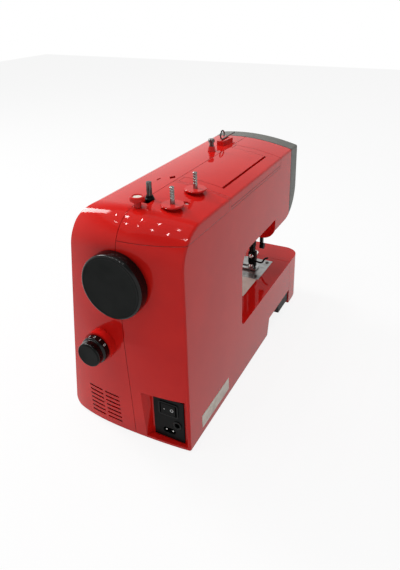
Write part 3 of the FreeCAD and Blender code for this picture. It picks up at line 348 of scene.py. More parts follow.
@dataclass(frozen=True)
class Metal(Finish):
    """Bare or plated metal with drawn brush lines and dull patches."""

    name: str
    colour: Colour
    shade: Colour
    roughness: float
    brush: tuple[float, float, float] = (1, 40, 1)
    brush_mm: float = 0.25
    depth_mm: float = 0.004

    def look(self, graph: Graph) -> dict[str, Any]:
        """The sockets of the finish's shader."""
        lines = graph.noise(self.brush_mm, 3, self.brush)
        dull = graph.noise(8, 5).ramp(0.4, 0.75)
        return {"Base_Color": graph.blend(dull, self.colour, self.shade), "Metallic": 1.0,
                "Roughness": lines * 0.12 + dull * 0.08 + (self.roughness - 0.06),
                "Normal": graph.relief(lines, self.depth_mm)}


@dataclass(frozen=True)
class Ruled(Metal):
    """Brushed metal with engraved guide lines along Y."""

    first_x: float = -104
    step: float = 3
    lines: int = 3
    ink: Colour = srgb(60, 60, 60)

    def look(self, graph: Graph) -> dict[str, Any]:
        """The sockets of the finish's shader."""
        sockets = super().look(graph)
        x = graph.axes()[0]
        cuts = sum((x.near(self.first_x + order * self.step, 0.05) for order in range(1, self.lines)),
                   x.near(self.first_x, 0.05))
        sockets["Base_Color"] = graph.blend(cuts, sockets["Base_Color"], self.ink)
        return sockets


@dataclass(frozen=True)
class Rubber(Finish):
    """Matt rubber with a dusty, finely pitted skin."""

    name: str
    colour: Colour = srgb(22, 22, 22)
    dusty: Colour = srgb(44, 43, 42)

    def look(self, graph: Graph) -> dict[str, Any]:
        """The sockets of the finish's shader."""
        dust = graph.noise(6, 6).ramp(0.45, 0.8)
        return {"Base_Color": graph.blend(dust, self.colour, self.dusty), "Roughness": dust * 0.15 + 0.7,
                "Normal": graph.relief(graph.noise(0.4, 2), 0.05)}


@dataclass(frozen=True)
class Card(Finish):
    """A bare pale film plate: slight yellowing, fine fibres and a satin skin."""

    name: str
    colour: Colour
    shade: Colour
    roughness: float = 0.42

    def look(self, graph: Graph) -> dict[str, Any]:
        """The sockets of the finish's shader."""
        stain = graph.noise(14, 5).ramp(0.35, 0.75)
        fibre = graph.noise(0.35, 3, (6, 1, 1))
        return {"Base_Color": graph.blend(stain, self.colour, self.shade),
                "Roughness": stain * 0.12 + self.roughness, "Specular_IOR_Level": 0.3,
                "Normal": graph.relief(fibre, 0.01)}


@dataclass(frozen=True)
class Knob(Finish):
    """A black knob with a polished rim and a satin front, told apart by how far out a point lies."""

    name: str
    centre_y: float
    centre_z: float
    face_x: float
    face_radius: float
    rim: Colour = srgb(6, 6, 6)
    face: Colour = srgb(17, 20, 19)

    def look(self, graph: Graph) -> dict[str, Any]:
        """The sockets of the finish's shader."""
        x, y, z = graph.axes()
        out = ((y - self.centre_y * MM) ** 2 + (z - self.centre_z * MM) ** 2) ** 0.5
        front = (x > self.face_x * MM) * (out < self.face_radius * MM)
        smudges = graph.noise(14, 6).ramp(0.4, 0.75)
        specks = graph.noise(0.9, 2).ramp(0.64, 0.72)
        return {"Base_Color": graph.blend(front, self.rim, self.face),
                "Roughness": front * 0.2 + smudges * 0.06 + specks * 0.1 + 0.2,
                "Specular_IOR_Level": 0.06, "Coat_Weight": 0.42 - front * 0.36 - smudges * 0.05,
                "Coat_Roughness": 0.03, "Normal": graph.relief(graph.noise(3, 2), 0.02)}


@dataclass(frozen=True)
class Banded(Finish):
    """Two finishes on one piece, the upper one above a level."""

    name: str
    lower: Finish
    upper: Finish
    level: float

    def shader(self, graph: Graph) -> Wire:
        """The two finishes' shaders, parted at the level."""
        above = graph.axes()[2] > self.level * MM
        lower, upper = self.lower.shader(graph), self.upper.shader(graph)
        return graph.node("ShaderNodeMixShader", sockets={0: above, 1: lower, 2: upper})


class Paint:
    """The machine's finishes, each made once."""

    RED = Moulded("red_plastic", srgb(209, 30, 24), srgb(200, 24, 21), roughness=0.045)
    SHELL = Shell("red_shell", RED.colour, RED.shade, RED.roughness)
    GREY = Grained("grey_cover", srgb(104, 104, 98), srgb(94, 94, 89), roughness=0.34, gloss=0.14)
    BLACK = Grained("black_plastic", srgb(13, 14, 14), srgb(9, 10, 10), roughness=0.4, gloss=0.07)
    GLOSS_BLACK = Moulded("black_gloss", srgb(8, 8, 8), srgb(5, 5, 5), roughness=0.1, gloss=0.15)
    WHITE = Moulded("plain_plastic", srgb(232, 229, 218), srgb(222, 217, 203), roughness=0.3)
    STEEL = Metal("steel", (0.56, 0.56, 0.55), (0.42, 0.42, 0.41), roughness=0.3)
    PLATE_STEEL = Ruled("plate_steel", (0.5, 0.5, 0.49), (0.38, 0.38, 0.37), roughness=0.34)
    CHROME = Metal("chrome", (0.66, 0.65, 0.63), (0.5, 0.49, 0.47), roughness=0.14,
                   brush=(1, 1, 1), brush_mm=2, depth_mm=0.002)
    PIN_STEEL = Metal("pin_steel", (0.3, 0.29, 0.275), (0.19, 0.18, 0.17), roughness=0.24,
                      brush=(1, 1, 6), brush_mm=0.5, depth_mm=0.003)
    DARK_CHROME = Metal("dark_chrome", (0.1, 0.095, 0.09), (0.055, 0.052, 0.05), roughness=0.16,
                        brush=(1, 1, 8), brush_mm=0.6, depth_mm=0.003)
    ALLOY = Metal("alloy", (0.6, 0.61, 0.62), (0.44, 0.45, 0.46), roughness=0.5,
                  brush=(1, 1, 1), brush_mm=0.8, depth_mm=0.05)
    BRASS = Metal("brass", (0.68, 0.5, 0.24), (0.5, 0.36, 0.16), roughness=0.36,
                  brush=(1, 1, 1), brush_mm=0.6, depth_mm=0.02)
    # Painted shade: the dark sheet set in the air slots stands in for the shade inside them.
    SHADE = Grained("slot_shade_screen", srgb(34, 7, 9), srgb(24, 6, 8), roughness=0.6, gloss=0.05)
    RUBBER = Rubber("rubber")
    PLATE = Card("bare_plate", srgb(226, 222, 210), srgb(210, 204, 190))
    CREAM = Card("bed_card", srgb(240, 236, 226), srgb(228, 222, 208))
    MARK = Card("white_mark", srgb(230, 232, 230), srgb(212, 214, 212))
    WHEEL = Knob("wheel_black", centre_y=14, centre_z=214.3, face_x=201.5, face_radius=34.8)
    DIAL = Knob("dial_black", centre_y=-16, centre_z=129, face_x=213.5, face_radius=14)
    POST = Banded("thread_post", lower=RED, upper=DARK_CHROME, level=292.8)

    _made: dict[str, bpy.types.Material] = {}

    @classmethod
    def get(cls, finish: Finish) -> bpy.types.Material:
        """The material of a finish, made on first use."""
        if finish.name not in cls._made:
            cls._made[finish.name] = finish.material()
        return cls._made[finish.name]


class Meshes:
    """Surfaces worked out as whole arrays and put into meshes. Lengths are in millimetres."""

    @staticmethod
    def grid(name: str, points: Array, wrap_rows: bool = False,
             wrap_columns: bool = True) -> bpy.types.Object:
        """A mesh from a grid of points, its faces turned outwards by the sign of its volume.

        Args:
            name: the piece's name.
            points: rows by columns by 3.
            wrap_rows: join the last row to the first.
            wrap_columns: join the last column to the first.

        Returns:
            The new object, at the origin.
        """
        rows, columns = points.shape[:2]
        index = np.arange(rows * columns).reshape(rows, columns)
        index = np.vstack([index, index[:1]]) if wrap_rows else index
        index = np.hstack([index, index[:, :1]]) if wrap_columns else index
        quads = np.stack([index[:-1, :-1], index[:-1, 1:], index[1:, 1:], index[1:, :-1]], -1).reshape(-1, 4)
        return Meshes.solid(name, points.reshape(-1, 3), quads)

    @staticmethod
    def solid(name: str, points: Array, faces: Array) -> bpy.types.Object:
        """A welded mesh whose faces point outwards.

        Args:
            name: the piece's name.
            points: corner by 3, in millimetres.
            faces: face by corner numbers.

        Returns:
            The new object, at the origin.
        """
        corners = points[faces]
        middle = corners.mean(1)
        normal = np.cross(corners[:, 2] - corners[:, 0], corners[:, -1] - corners[:, 1])
        if np.sum((middle - points.mean(0)) * normal) < 0:
            faces = faces[:, ::-1]
        mesh = bpy.data.meshes.new(name)
        mesh.from_pydata((points * MM).tolist(), [], faces.tolist())
        work = bmesh.new()
        work.from_mesh(mesh)
        bmesh.ops.remove_doubles(work, verts=work.verts, dist=1e-7)
        bmesh.ops.dissolve_degenerate(work, edges=work.edges, dist=1e-8)
        work.to_mesh(mesh)
        work.free()
        piece = placed(name, mesh)
        Meshes.smooth(piece)
        return piece

    @staticmethod
    def smooth(piece: bpy.types.Object, angle: float = 32) -> None:
        """Shade smooth, apart from edges sharper than the angle."""
        piece.data.polygons.foreach_set("use_smooth", np.ones(len(piece.data.polygons), bool))
        piece.data.set_sharp_from_angle(angle=math.radians(angle))

    @staticmethod
    def eased(corners: Sequence[tuple[float, float, float]], steps: int = 6) -> Array:
        """A profile with each corner rounded: a quadratic curve over the corner's own reach.

        Args:
            corners: (along, radius, reach) of each corner.
            steps: points on each rounding.

        Returns:
            Points by 2.
        """
        spots = np.array([item[:2] for item in corners], float)
        share = np.linspace(0, 1, steps)[:, None]
        runs = []
        for index, (_, _, reach) in enumerate(corners):
            here = spots[index]
            if reach <= 0 or index in (0, len(corners) - 1):
                runs.append(here[None])
                continue
            back, ahead = spots[index - 1] - here, spots[index + 1] - here
            start = here + back / np.linalg.norm(back) * reach
            end = here + ahead / np.linalg.norm(ahead) * reach
            runs.append((1 - share) ** 2 * start + 2 * share * (1 - share) * here + share ** 2 * end)
        return np.vstack(runs)

    @staticmethod
    def turned(name: str, base: Sequence[float], axis: Axis, profile: Array, turns: int = 96,
               ripple: Callable[[Array, Array], Array] | None = None, ring: bool = False) -> bpy.types.Object:
        """A turned piece: radius over angle and distance along the axis.

        Args:
            name: the piece's name.
            base: where the axis starts.
            axis: the way it points.
            profile: (along, radius) points.
            turns: points round the axis.
            ripple: change of radius, from the angles and the profile's place along the axis.
            ring: the profile closes on itself round a bore.

        Returns:
            The new object.
        """
        along, across, third = (np.array(item, float) for item in axis.value)
        angle = np.linspace(0, math.tau, turns, endpoint=False)[None, :, None]
        radius = profile[:, 1][:, None, None]
        if ripple is not None:
            radius = radius + ripple(angle, profile[:, 0][:, None, None]) * (radius > 0)
        points = (np.array(base, float) + profile[:, 0][:, None, None] * along
                  + radius * (np.cos(angle) * across + np.sin(angle) * third))
        return Meshes.grid(name, points, wrap_rows=ring)

    @staticmethod
    def strips(name: str, points: Array) -> bpy.types.Object:
        """Many like four-sided strips in one mesh, shut at both ends.

        Args:
            name: the piece's name.
            points: strip by row by corner by 3.

        Returns:
            The new object.
        """
        count, rows, columns = points.shape[:3]
        index = np.arange(rows * columns).reshape(rows, columns)
        ring = np.hstack([index, index[:, :1]])
        sides = np.stack([ring[:-1, :-1], ring[:-1, 1:], ring[1:, 1:], ring[1:, :-1]], -1)
        faces = np.vstack([sides.reshape(-1, columns), index[:1, ::-1], index[-1:]])
        faces = (faces + np.arange(count)[:, None, None] * rows * columns).reshape(-1, columns)
        return Meshes.solid(name, points.reshape(-1, 3), faces)

    @staticmethod
    def tube(name: str, path: Array, side: Sequence[float], radius: float) -> bpy.types.Object:
        """A round wire along a flat path: circles square to it, shrinking to a point at rounded ends.

        Args:
            name: the piece's name.
            path: points by 3.
            side: direction square to the path's plane.
            radius: radius of the wire.

        Returns:
            The new object.
        """
        around, steps = 20, 5
        way = np.gradient(path, axis=0)
        way /= np.linalg.norm(way, axis=1, keepdims=True)
        ease = np.sin(np.linspace(0, math.pi / 2, steps))[:, None]
        swell = np.sqrt(1 - (1 - ease[:, 0]) ** 2) * radius
        reach = np.concatenate([swell, np.full(len(path), radius), swell[::-1]])[:, None, None]
        start = path[0] - way[0] * radius * (1 - ease)
        end = path[-1] + way[-1] * radius * (1 - ease[::-1])
        path = np.vstack([start, path, end])
        way = np.vstack([np.repeat(way[:1], steps, 0), way, np.repeat(way[-1:], steps, 0)])
        across = np.array(side, float)
        third = np.cross(way, across)[:, None]
        angle = np.linspace(0, math.tau, around, endpoint=False)[None, :, None]
        points = path[:, None] + reach * (np.cos(angle) * across + np.sin(angle) * third)
        return Meshes.grid(name, points)

    @staticmethod
    def rounded(width: float, height: float, radius: float) -> tuple[Array, Array]:
        """A rectangle with round corners: quarter circles about its four corner centres.

        Args:
            width: its width.
            height: its height.
            radius: radius of its corners.

        Returns:
            Points by 2, and the outward directions there.
        """
        count = 64
        angle = np.linspace(0, math.tau, count, endpoint=False) + math.pi / count
        way = np.stack([np.cos(angle), np.sin(angle)], -1)
        return np.sign(way) * (np.array([width, height]) / 2 - radius) + radius * way, way

    @staticmethod
    def stacked(name: str, centre: Sequence[float], side: Side, flat: Array, level: Array,
                ring: bool = False) -> bpy.types.Object:
        """A piece made of flat outlines stacked at levels above a face.

        Args:
            name: the piece's name.
            centre: middle of its back face.
            side: the face that it lies on.
            flat: outline by point by 2.
            level: height of each outline.
            ring: the last outline joins the first round an opening.

        Returns:
            The new object.
        """
        across, up = (np.array(item, float) for item in side.value)
        points = (np.array(centre, float) + flat[..., :1] * across + flat[..., 1:] * up
                  + level[:, None, None] * np.cross(across, up))
        return Meshes.grid(name, points, wrap_rows=ring)

    @staticmethod
    def border(name: str, centre: Sequence[float], size: Sequence[float], width: float, radius: float,
               side: Side) -> bpy.types.Object:
        """A raised rectangular border with rounded corners and eased edges.

        Args:
            name: the piece's name.
            centre: middle of its back face.
            size: width and height of its opening, and its thickness.
            width: width of its rim.
            radius: radius of its opening's corners.
            side: the face that it lies on.

        Returns:
            The new object.
        """
        wide, high, thick = size
        corner, way = Meshes.rounded(wide, high, radius)
        ease = min(width, thick) * 0.3
        grow = np.array([0, width, width, width - ease, ease, 0])
        level = np.array([0, 0, thick - ease, thick, thick, thick - ease])
        return Meshes.stacked(name, centre, side, corner[None] + way[None] * grow[:, None, None], level, True)

    @staticmethod
    def slab(name: str, centre: Sequence[float], size: Sequence[float], radius: float,
             side: Side) -> bpy.types.Object:
        """A thin plate with rounded corners and a bevelled rim, as rings from its back to its front.

        Args:
            name: the piece's name.
            centre: middle of its back face.
            size: width, height and thickness.
            radius: radius of its corners.
            side: the face that it lies on.

        Returns:
            The new object.
        """
        width, height, thick = size
        bevel = 0.1
        corner, _ = Meshes.rounded(width, height, radius)
        share = np.array([0, 1, 1, 1 - 2 * bevel / height, 0])
        level = np.array([0, 0, thick - bevel, thick, thick])
        return Meshes.stacked(name, centre, side, corner[None] * share[:, None, None], level)

    @staticmethod
    def lettering(name: str, text: str, height: float, thick: float,
                  lay: Callable[[Array], Array]) -> bpy.types.Object:
        """Plain marks as a thin solid laid on a surface.

        Args:
            name: the piece's name.
            text: the marks.
            height: height of a capital, in millimetres.
            thick: thickness of the paint.
            lay: takes flat points, in millimetres, to the machine's frame.

        Returns:
            The new object.
        """
        capital_share = 0.7
        curve = bpy.data.curves.new(name, "FONT")
        curve.body = text
        curve.align_x = "CENTER"
        curve.align_y = "CENTER"
        curve.size = height / capital_share
        curve.extrude = thick / 2
        curve.resolution_u = 4
        holder = placed(name, curve)
        depsgraph = bpy.context.evaluated_depsgraph_get()
        mesh = bpy.data.meshes.new_from_object(holder.evaluated_get(depsgraph))
        bpy.data.objects.remove(holder)
        flat = np.empty(len(mesh.vertices) * 3)
        mesh.vertices.foreach_get("co", flat)
        mesh.vertices.foreach_set("co", (lay(flat.reshape(-1, 3)) * MM).ravel())
        mesh.name = name
        return placed(name, mesh)


class Assembly:
    """What the machine's sub-assemblies share: putting finishes on pieces and noting them."""

    def build(self) -> None:
        """Make the assembly's new pieces, where it has any."""

    def dress(self) -> None:
        """Put finishes on the assembly's modelled pieces, where it has any."""

    def paint(self, finish: Finish, *nodes: str) -> None:
        """Give modelled pieces a finish.

        Args:
            finish: the finish.
            nodes: names of the pieces.
        """
        material = Paint.get(finish)
        for name in nodes:
            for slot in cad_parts[name].material_slots:
                slot.material = material
            LOG.info("%s: %s", name, finish.name)

    def add(self, piece: bpy.types.Object, finish: Finish, body: str, slot: str,
            replaced: Sequence[str] = ()) -> None:
        """Finish a new piece and let it ride on a body.

        Args:
            piece: the new piece.
            finish: its finish.
            body: the body that it moves with.
            slot: not used.
            replaced: modelled pieces that it stands for.
        """
        piece.data.materials.clear()
        piece.data.materials.append(Paint.get(finish))
        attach(piece, body)
        if replaced:
            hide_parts(*replaced)
        LOG.info("%s: %s on %s", piece.name, finish.name, body)

    def soften(self, name: str, width: float, finish: Finish, body: str, slot: str) -> None:
        """Stand a welded copy with rounded edges in for a modelled piece.

        Args:
            name: the modelled piece.
            width: width of the rounding, in millimetres.
            finish: its finish.
            body: the body that it moves with.
            slot: handed on to add.
        """
        sharp = 35
        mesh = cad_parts[name].data.copy()
        mesh.name = name + "_soft"
        if "custom_normal" in mesh.attributes:
            mesh.attributes.remove(mesh.attributes["custom_normal"])
        work = bmesh.new()
        work.from_mesh(mesh)
        bmesh.ops.remove_doubles(work, verts=work.verts, dist=2e-6)
        bmesh.ops.dissolve_limit(work, angle_limit=math.radians(0.6), verts=work.verts, edges=work.edges)
        work.to_mesh(mesh)
        work.free()
        piece = placed(name + "_soft", mesh)
        Meshes.smooth(piece, sharp)
        rounding = piece.modifiers.new("rounding", "BEVEL")
        rounding.width = width * MM
        rounding.segments = 2
        rounding.limit_method = "ANGLE"
        rounding.angle_limit = math.radians(sharp)
        rounding.harden_normals = True
        self.add(piece, finish, body, slot, (name,))


@dataclass
class Casing(Assembly):
    """Moulded shells, face cover, handle, base and feet, with the bare plate on the back."""

    plate_x: float = 111.5
    plate_z: float = 20.5
    plate_size: tuple[float, float, float] = (75, 18, 0.35)
    plate_corner: float = 0.8
    rear_y: float = 86.0
    end_reach: float = 189.5
    end_bow: float = 10.75
    end_taper: float = 7.0
    taper_span: tuple[float, float] = (3, 140)
    parting_y: float = 14.0
    part_depth: float = 72.0
    slot_starts: tuple[float, float] = (-51, -26)
    slot_length: float = 21.0
    slot_levels: tuple[float, float, int] = (12, 6.4, 7)
    slot_height: float = 2.4
    slot_gap: float = 0.05
    screen_depths: tuple[float, float] = (0.9, 2.2)

    def build(self) -> None:
        """Make the bare plate that is stuck on the back and the dark sheet in the air slots, which paints
        their shade.
        """
        self._slot_shade()
        spot = (self.plate_x, self.rear_y, self.plate_z)
        plate = Meshes.slab("rear_plate", spot, self.plate_size, self.plate_corner, Side.REAR)
        self.add(plate, Paint.PLATE, "machine", "plain_plastic")

    def _end_x(self, y: Array, z: Array) -> Array:
        """Where the right end lies: a parabola over y for its bow, less a taper that grows downwards."""
        fade = 1 - ((y - self.parting_y) / self.part_depth) ** 2
        low, high = self.taper_span
        taper = self.end_taper * fade * (high - z) / (high - low)
        return self.end_reach - self.end_bow * (1 - fade) - taper

    def _slot_shade(self) -> None:
        """Fill the air slots with a dark sheet a little below the surface, as painted shade for the dark
        inside.
        """
        first, pitch, count = self.slot_levels
        low = (first + pitch * np.arange(count))[:, None, None, None]
        start = np.array(self.slot_starts)[None, :, None, None]
        run = np.linspace(self.slot_gap, self.slot_length - self.slot_gap, 9)[None, None, :, None]
        (front, back), foot, head = self.screen_depths, self.slot_gap, self.slot_height - self.slot_gap
        corner = np.array([(front, foot), (front, head), (back, head), (back, foot)])
        y, z = np.broadcast_arrays(start + run, low + corner[:, 1])
        points = np.stack([self._end_x(y, z) - corner[:, 0], y, z], -1)
        screen = Meshes.strips("vent_shade_screen", points.reshape(-1, *points.shape[2:]))
        self.add(screen, Paint.SHADE, "machine", "black_plastic")

    def dress(self) -> None:
        """Put the finishes on the casing."""
        self.paint(Paint.SHELL, "rear_shell", "front_shell")
        self.paint(Paint.RED, "free_arm", "recess_tray", "carry_handle")
        self.paint(Paint.GREY, "face_cover")
        self.paint(Paint.BLACK, "base_plate")
        self.paint(Paint.RUBBER, "rubber_feet", "box_foot")
        self.paint(Paint.STEEL, "handle_pins")


@dataclass
class Table(Assembly):
    """The slip-on accessory table with its lid."""

    def dress(self) -> None:
        """Put the finishes on the table."""
        self.paint(Paint.RED, "accessory_box", "box_lid")


@dataclass
class Wheel(Assembly):
    """The hand wheel: a polished rim round a satin front."""

    centre: tuple[float, float, float] = (190.1, 14, 214.3)
    radius: float = 36.8
    width: float = 14.3
    hub_radius: float = 9.0

    def build(self) -> None:
        """Turn the wheel from its half section."""
        rim, wide = self.radius, self.width
        section = Meshes.eased([
            (-8, 0, 0), (-8, self.hub_radius, 0.6), (0, self.hub_radius, 0.4), (0, rim, 1.2),
            (wide - 0.6, rim, 2.6), (wide, rim - 3.6, 0.8), (wide - 0.35, rim - 4.2, 0.3),
            (wide - 0.35, 0, 0)])
        wheel = Meshes.turned("hand_wheel_rim", self.centre, Axis.X, section, turns=160)
        self.add(wheel, Paint.WHEEL, "drive", "black_gloss", ("hand_wheel",))


@dataclass
class LengthDial(Assembly):
    """The stitch length dial: a marked skirt, a longer cap and a satin front."""

    centre: tuple[float, float, float] = (198.3, -16, 129)
    skirt_radius: float = 16.0
    cap_radius: float = 14.4
    skirt: float = 9.0
    length: float = 17.25
    marks: str = "01234"
    mark_height: float = 3.4
    mark_thick: float = 0.12
    mark_shift: float = 0.8
    mark_step: float = 26.0
    first_mark: float = 36.0

    def build(self) -> None:
        """Turn the dial and wrap its marks round the skirt."""
        skirt, cap = self.skirt_radius, self.cap_radius
        section = Meshes.eased([
            (-24, 0, 0), (-24, 3, 0.3), (0, 3, 0.2), (0, skirt, 0.5), (self.skirt - 1.8, skirt, 0.7),
            (self.skirt, cap, 0.6), (self.length - 0.9, cap, 1.6), (self.length, cap - 2.2, 0.8),
            (self.length - 0.2, cap - 2.7, 0.2), (self.length - 0.2, 0, 0)])
        dial = Meshes.turned("length_dial_knob", self.centre, Axis.X, section, turns=128)
        self.add(dial, Paint.DIAL, "length_control", "black_gloss", ("length_dial",))
        for order, mark in enumerate(self.marks):
            turn = math.radians(self.first_mark + order * self.mark_step)
            piece = Meshes.lettering(f"length_mark_{order}", mark, self.mark_height, self.mark_thick,
                                     lambda flat: self._wrap(flat, turn))
            self.add(piece, Paint.MARK, "length_control", "plain_plastic")

    def _wrap(self, flat: Array, turn: float) -> Array:
        """Lay flat marks round the skirt: width becomes an angle, and height runs along the axis."""
        x0, y0, z0 = self.centre
        angle = turn - flat[:, 0] / self.skirt_radius
        radius = self.skirt_radius + flat[:, 2]
        along = x0 + self.skirt / 2 - self.mark_shift - flat[:, 1]
        return np.stack([along, y0 + radius * np.cos(angle), z0 + radius * np.sin(angle)], -1)


@dataclass
class PowerPanel(Assembly):
    """The mains panel with its rocker and inlet."""

    face_x: float = 177.0
    middle_y: float = 57.0
    rocker_z: float = 51.0
    plate_x: float = 175.8
    rocker_size: tuple[float, float, float] = (22.2, 15.2, 1.0)
    frame_rim: float = 1.8
    frame_corner: float = 0.8
    jack: tuple[float, float, float] = (175.8, 68, 31)
    jack_radius: float = 3.2
    pins: tuple[tuple[float, float, float], ...] = ((173, 52.7, 19), (173, 61.3, 19))
    pin_radius: float = 1.15
    mark_height: float = 4.0
    mark_thick: float = 0.12
    mark_shift: float = 5.0

    def build(self) -> None:
        """Frame the rocker and the jack, tip the pins, and paint the on and off marks on the rocker."""
        spot = (self.plate_x, self.middle_y, self.rocker_z)
        border = Meshes.border("rocker_frame", spot, self.rocker_size, self.frame_rim, self.frame_corner,
                               Side.END)
        self.add(border, Paint.GLOSS_BLACK, "machine", "black_gloss")
        radius = self.pin_radius
        tip = Meshes.eased([(-0.5, 0, 0), (-0.5, radius, 0), (2.3, radius, 0.8), (2.3, 0, 0)])
        for order, pin in enumerate(self.pins):
            piece = Meshes.turned(f"inlet_pin_tip_{order}", pin, Axis.X, tip, turns=32)
            self.add(piece, Paint.CHROME, "machine", "chrome")
        bore = self.jack_radius + 0.05
        lip = np.array([(0, bore), (0, bore + 2.6), (0.6, bore + 2.4), (1, bore + 1.8), (1, bore + 0.4),
                        (0.6, bore)])
        ring = Meshes.turned("jack_lip", self.jack, Axis.X, lip, turns=48, ring=True)
        self.add(ring, Paint.GLOSS_BLACK, "machine", "black_gloss")
        for name, text, shift in (("mark_on", "-", -self.mark_shift), ("mark_off", "O", self.mark_shift)):
            piece = Meshes.lettering(name, text, self.mark_height, self.mark_thick,
                                     lambda flat: self._stand(flat, shift))
            self.add(piece, Paint.MARK, "rocker", "plain_plastic")

    def _stand(self, flat: Array, shift: float) -> Array:
        """Stand flat marks on the rocker's face."""
        y, z = self.middle_y + shift + flat[:, 0], self.rocker_z + flat[:, 1]
        return np.stack([self.face_x + flat[:, 2], y, z], -1)

    def dress(self) -> None:
        """Put the finishes on the panel."""
        self.soften("power_panel", 0.35, Paint.BLACK, "machine", "black_plastic")
        self.soften("rocker_switch", 0.5, Paint.BLACK, "rocker", "black_plastic")
        self.paint(Paint.CHROME, "inlet_pins")


@dataclass
class TopFittings(Assembly):
    """Spool pins, winder, stopper, thread post and wire guide."""

    spindle: tuple[float, float] = (129, 19.5)
    spindle_foot: float = 253.0
    spindle_level: float = 285.6
    stopper: tuple[float, float, float] = (152, 19.5, 295.9)
    screw: tuple[float, float, float] = (113, 55, 278.4)

    def build(self) -> None:
        """Make the spindle with its black clip, the stopper's pale cap and the screw in the deck."""
        stem = Meshes.eased([(0, 0, 0), (0, 12, 0), (1, 13, 0.3), (6, 13, 0.3), (7, 12, 0.3), (8.6, 12, 0.2),
                             (8.6, 3, 0.2), (52.8, 3, 1.2), (52.4, 1.2, 0.3), (52.6, 0, 0)])
        piece = Meshes.turned("winder_stem", (*self.spindle, self.spindle_foot), Axis.Z, stem, turns=64)
        self.add(piece, Paint.DARK_CHROME, "spindle", "chrome", ("winder_spindle",))
        clip = Meshes.eased([(0, 3.02, 0), (0, 5.2, 0.4), (1.6, 5.2, 0.4), (2.6, 4.2, 0.3), (4.6, 4.0, 0.4),
                             (4.6, 3.02, 0)])
        piece = Meshes.turned("winder_clip", (*self.spindle, self.spindle_level), Axis.Z, clip, turns=48,
                              ripple=self._ears, ring=True)
        self.add(piece, Paint.BLACK, "spindle", "black_plastic")
        cap = Meshes.eased([(0, 0, 0), (0, 5.0, 0), (0.5, 4.8, 0.2), (0.35, 2.2, 0.4), (0.7, 1.6, 0.3),
                            (0.7, 0, 0)])
        piece = Meshes.turned("stopper_cap", self.stopper, Axis.Z, cap, turns=48)
        self.add(piece, Paint.WHITE, "machine", "plain_plastic")
        head = Meshes.eased([(-2, 0, 0), (-2, 1.6, 0), (0, 1.6, 0), (0, 3.58, 0.2), (1.2, 3.58, 0.5),
                             (1.8, 0, 0)])
        piece = Meshes.turned("deck_screw", self.screw, Axis.Z, head, turns=40)
        self.add(piece, Paint.CHROME, "machine", "chrome")

    @staticmethod
    def _ears(angle: Array, along: Array) -> Array:
        """The clip's two spread ears near its foot: a high power of the cosine of the angle."""
        return np.where(along < 2, 1.1 * np.cos(angle) ** 8, 0)

    def dress(self) -> None:
        """Put the finishes on the fittings."""
        self.paint(Paint.PIN_STEEL, "spool_pin_right", "spool_pin_left")
        self.paint(Paint.DARK_CHROME, "wire_guide")
        self.paint(Paint.POST, "thread_post")
        self.paint(Paint.RED, "spool_discs", "winder_stopper")
        self.paint(Paint.STEEL, "winder_arm")


@dataclass
class Head(Assembly):
    """Needle, presser, take-up, plate and the bed's bare card."""

    card_centre: tuple[float, float, float] = (-65, 36, 81)
    card_size: tuple[float, float, float] = (53, 44, 0.3)
    card_corner: float = 1.0
    presser: tuple[float, float] = (-122, 38)
    sleeve_low: float = 111.0
    sleeve_tall: float = 62.0
    sleeve_radius: float = 5.8
    sleeve_bore: float = 3.55
    holder_screw: tuple[float, float, float] = (-117.5, 38.5, 105)
    holder_screw_radius: float = 3.6
    ankle_screw: tuple[float, float, float] = (-116, 38, 88.5)
    ankle_screw_radius: float = 2.7
    hook_radius: float = 1.4

    def build(self) -> None:
        """Lay the bare card on the bed, and fit the presser's sleeve, bright screws and hooked lever."""
        tall, wide, bore = self.sleeve_tall, self.sleeve_radius, self.sleeve_bore
        sleeve = Meshes.eased([(0, bore, 0), (0, 5, 0.4), (9, 5, 0.4), (10, wide, 0.4), (tall, wide, 0.4),
                               (tall, bore, 0)])
        piece = Meshes.turned("presser_sleeve", (*self.presser, self.sleeve_low), Axis.Z, sleeve, turns=48,
                              ring=True)
        self.add(piece, Paint.GLOSS_BLACK, "presser_unit", "black_gloss")
        self._screw("holder_screw", self.holder_screw, self.holder_screw_radius, "presser_unit")
        self._screw("ankle_screw", self.ankle_screw, self.ankle_screw_radius, "foot")
        bend = Meshes.eased([(44.6, 94.5, 0), (54.5, 93.4, 4.5), (58.5, 102.5, 3.5), (63.5, 104.6, 0)], 8)
        path = np.column_stack([np.full(len(bend), self.presser[0]), bend])
        hook = Meshes.tube("release_hook", path, (1, 0, 0), self.hook_radius)
        self.add(hook, Paint.GLOSS_BLACK, "release", "black_plastic", ("release_lever",))
        card = Meshes.slab("bed_card", self.card_centre, self.card_size, self.card_corner, Side.TOP)
        self.add(card, Paint.CREAM, "machine", "plain_plastic")

    def _screw(self, name: str, spot: Sequence[float], radius: float, body: str) -> None:
        """Turn one bright domed screw head that points to the right.

        Args:
            name: its name.
            spot: where its head starts.
            radius: radius of its head.
            body: the body that it moves with.
        """
        head = Meshes.eased([(-0.4, 0, 0), (-0.4, radius, 0), (1.4, radius, 0.5), (2.2, radius - 1.4, 0.6),
                             (2.4, 0, 0)])
        self.add(Meshes.turned(name, spot, Axis.X, head, turns=40), Paint.CHROME, body, "chrome")

    def dress(self) -> None:
        """Put the finishes on the head's pieces."""
        self.paint(Paint.STEEL, "needle_bar", "needle_bracket", "presser_bracket", "presser_foot", "feed_dog",
                   "take_up_lever")
        self.paint(Paint.PLATE_STEEL, "needle_plate")
        self.paint(Paint.CHROME, "needle", "needle_clamp", "foot_screw")
        self.paint(Paint.DARK_CHROME, "presser_bar", "plate_screws")
        self.paint(Paint.BLACK, "lifter_lever", "foot_holder")
        self.paint(Paint.WHITE, "work_lamp")


@dataclass(frozen=True)
class FrontDial:
    """Sizes of one dial on the leaning front."""

    node: str
    body: str
    x: float
    z: float
    radius: float
    tall: float
    flutes: int
    marks: Sequence[str]
    mark_size: float
    sweep: float


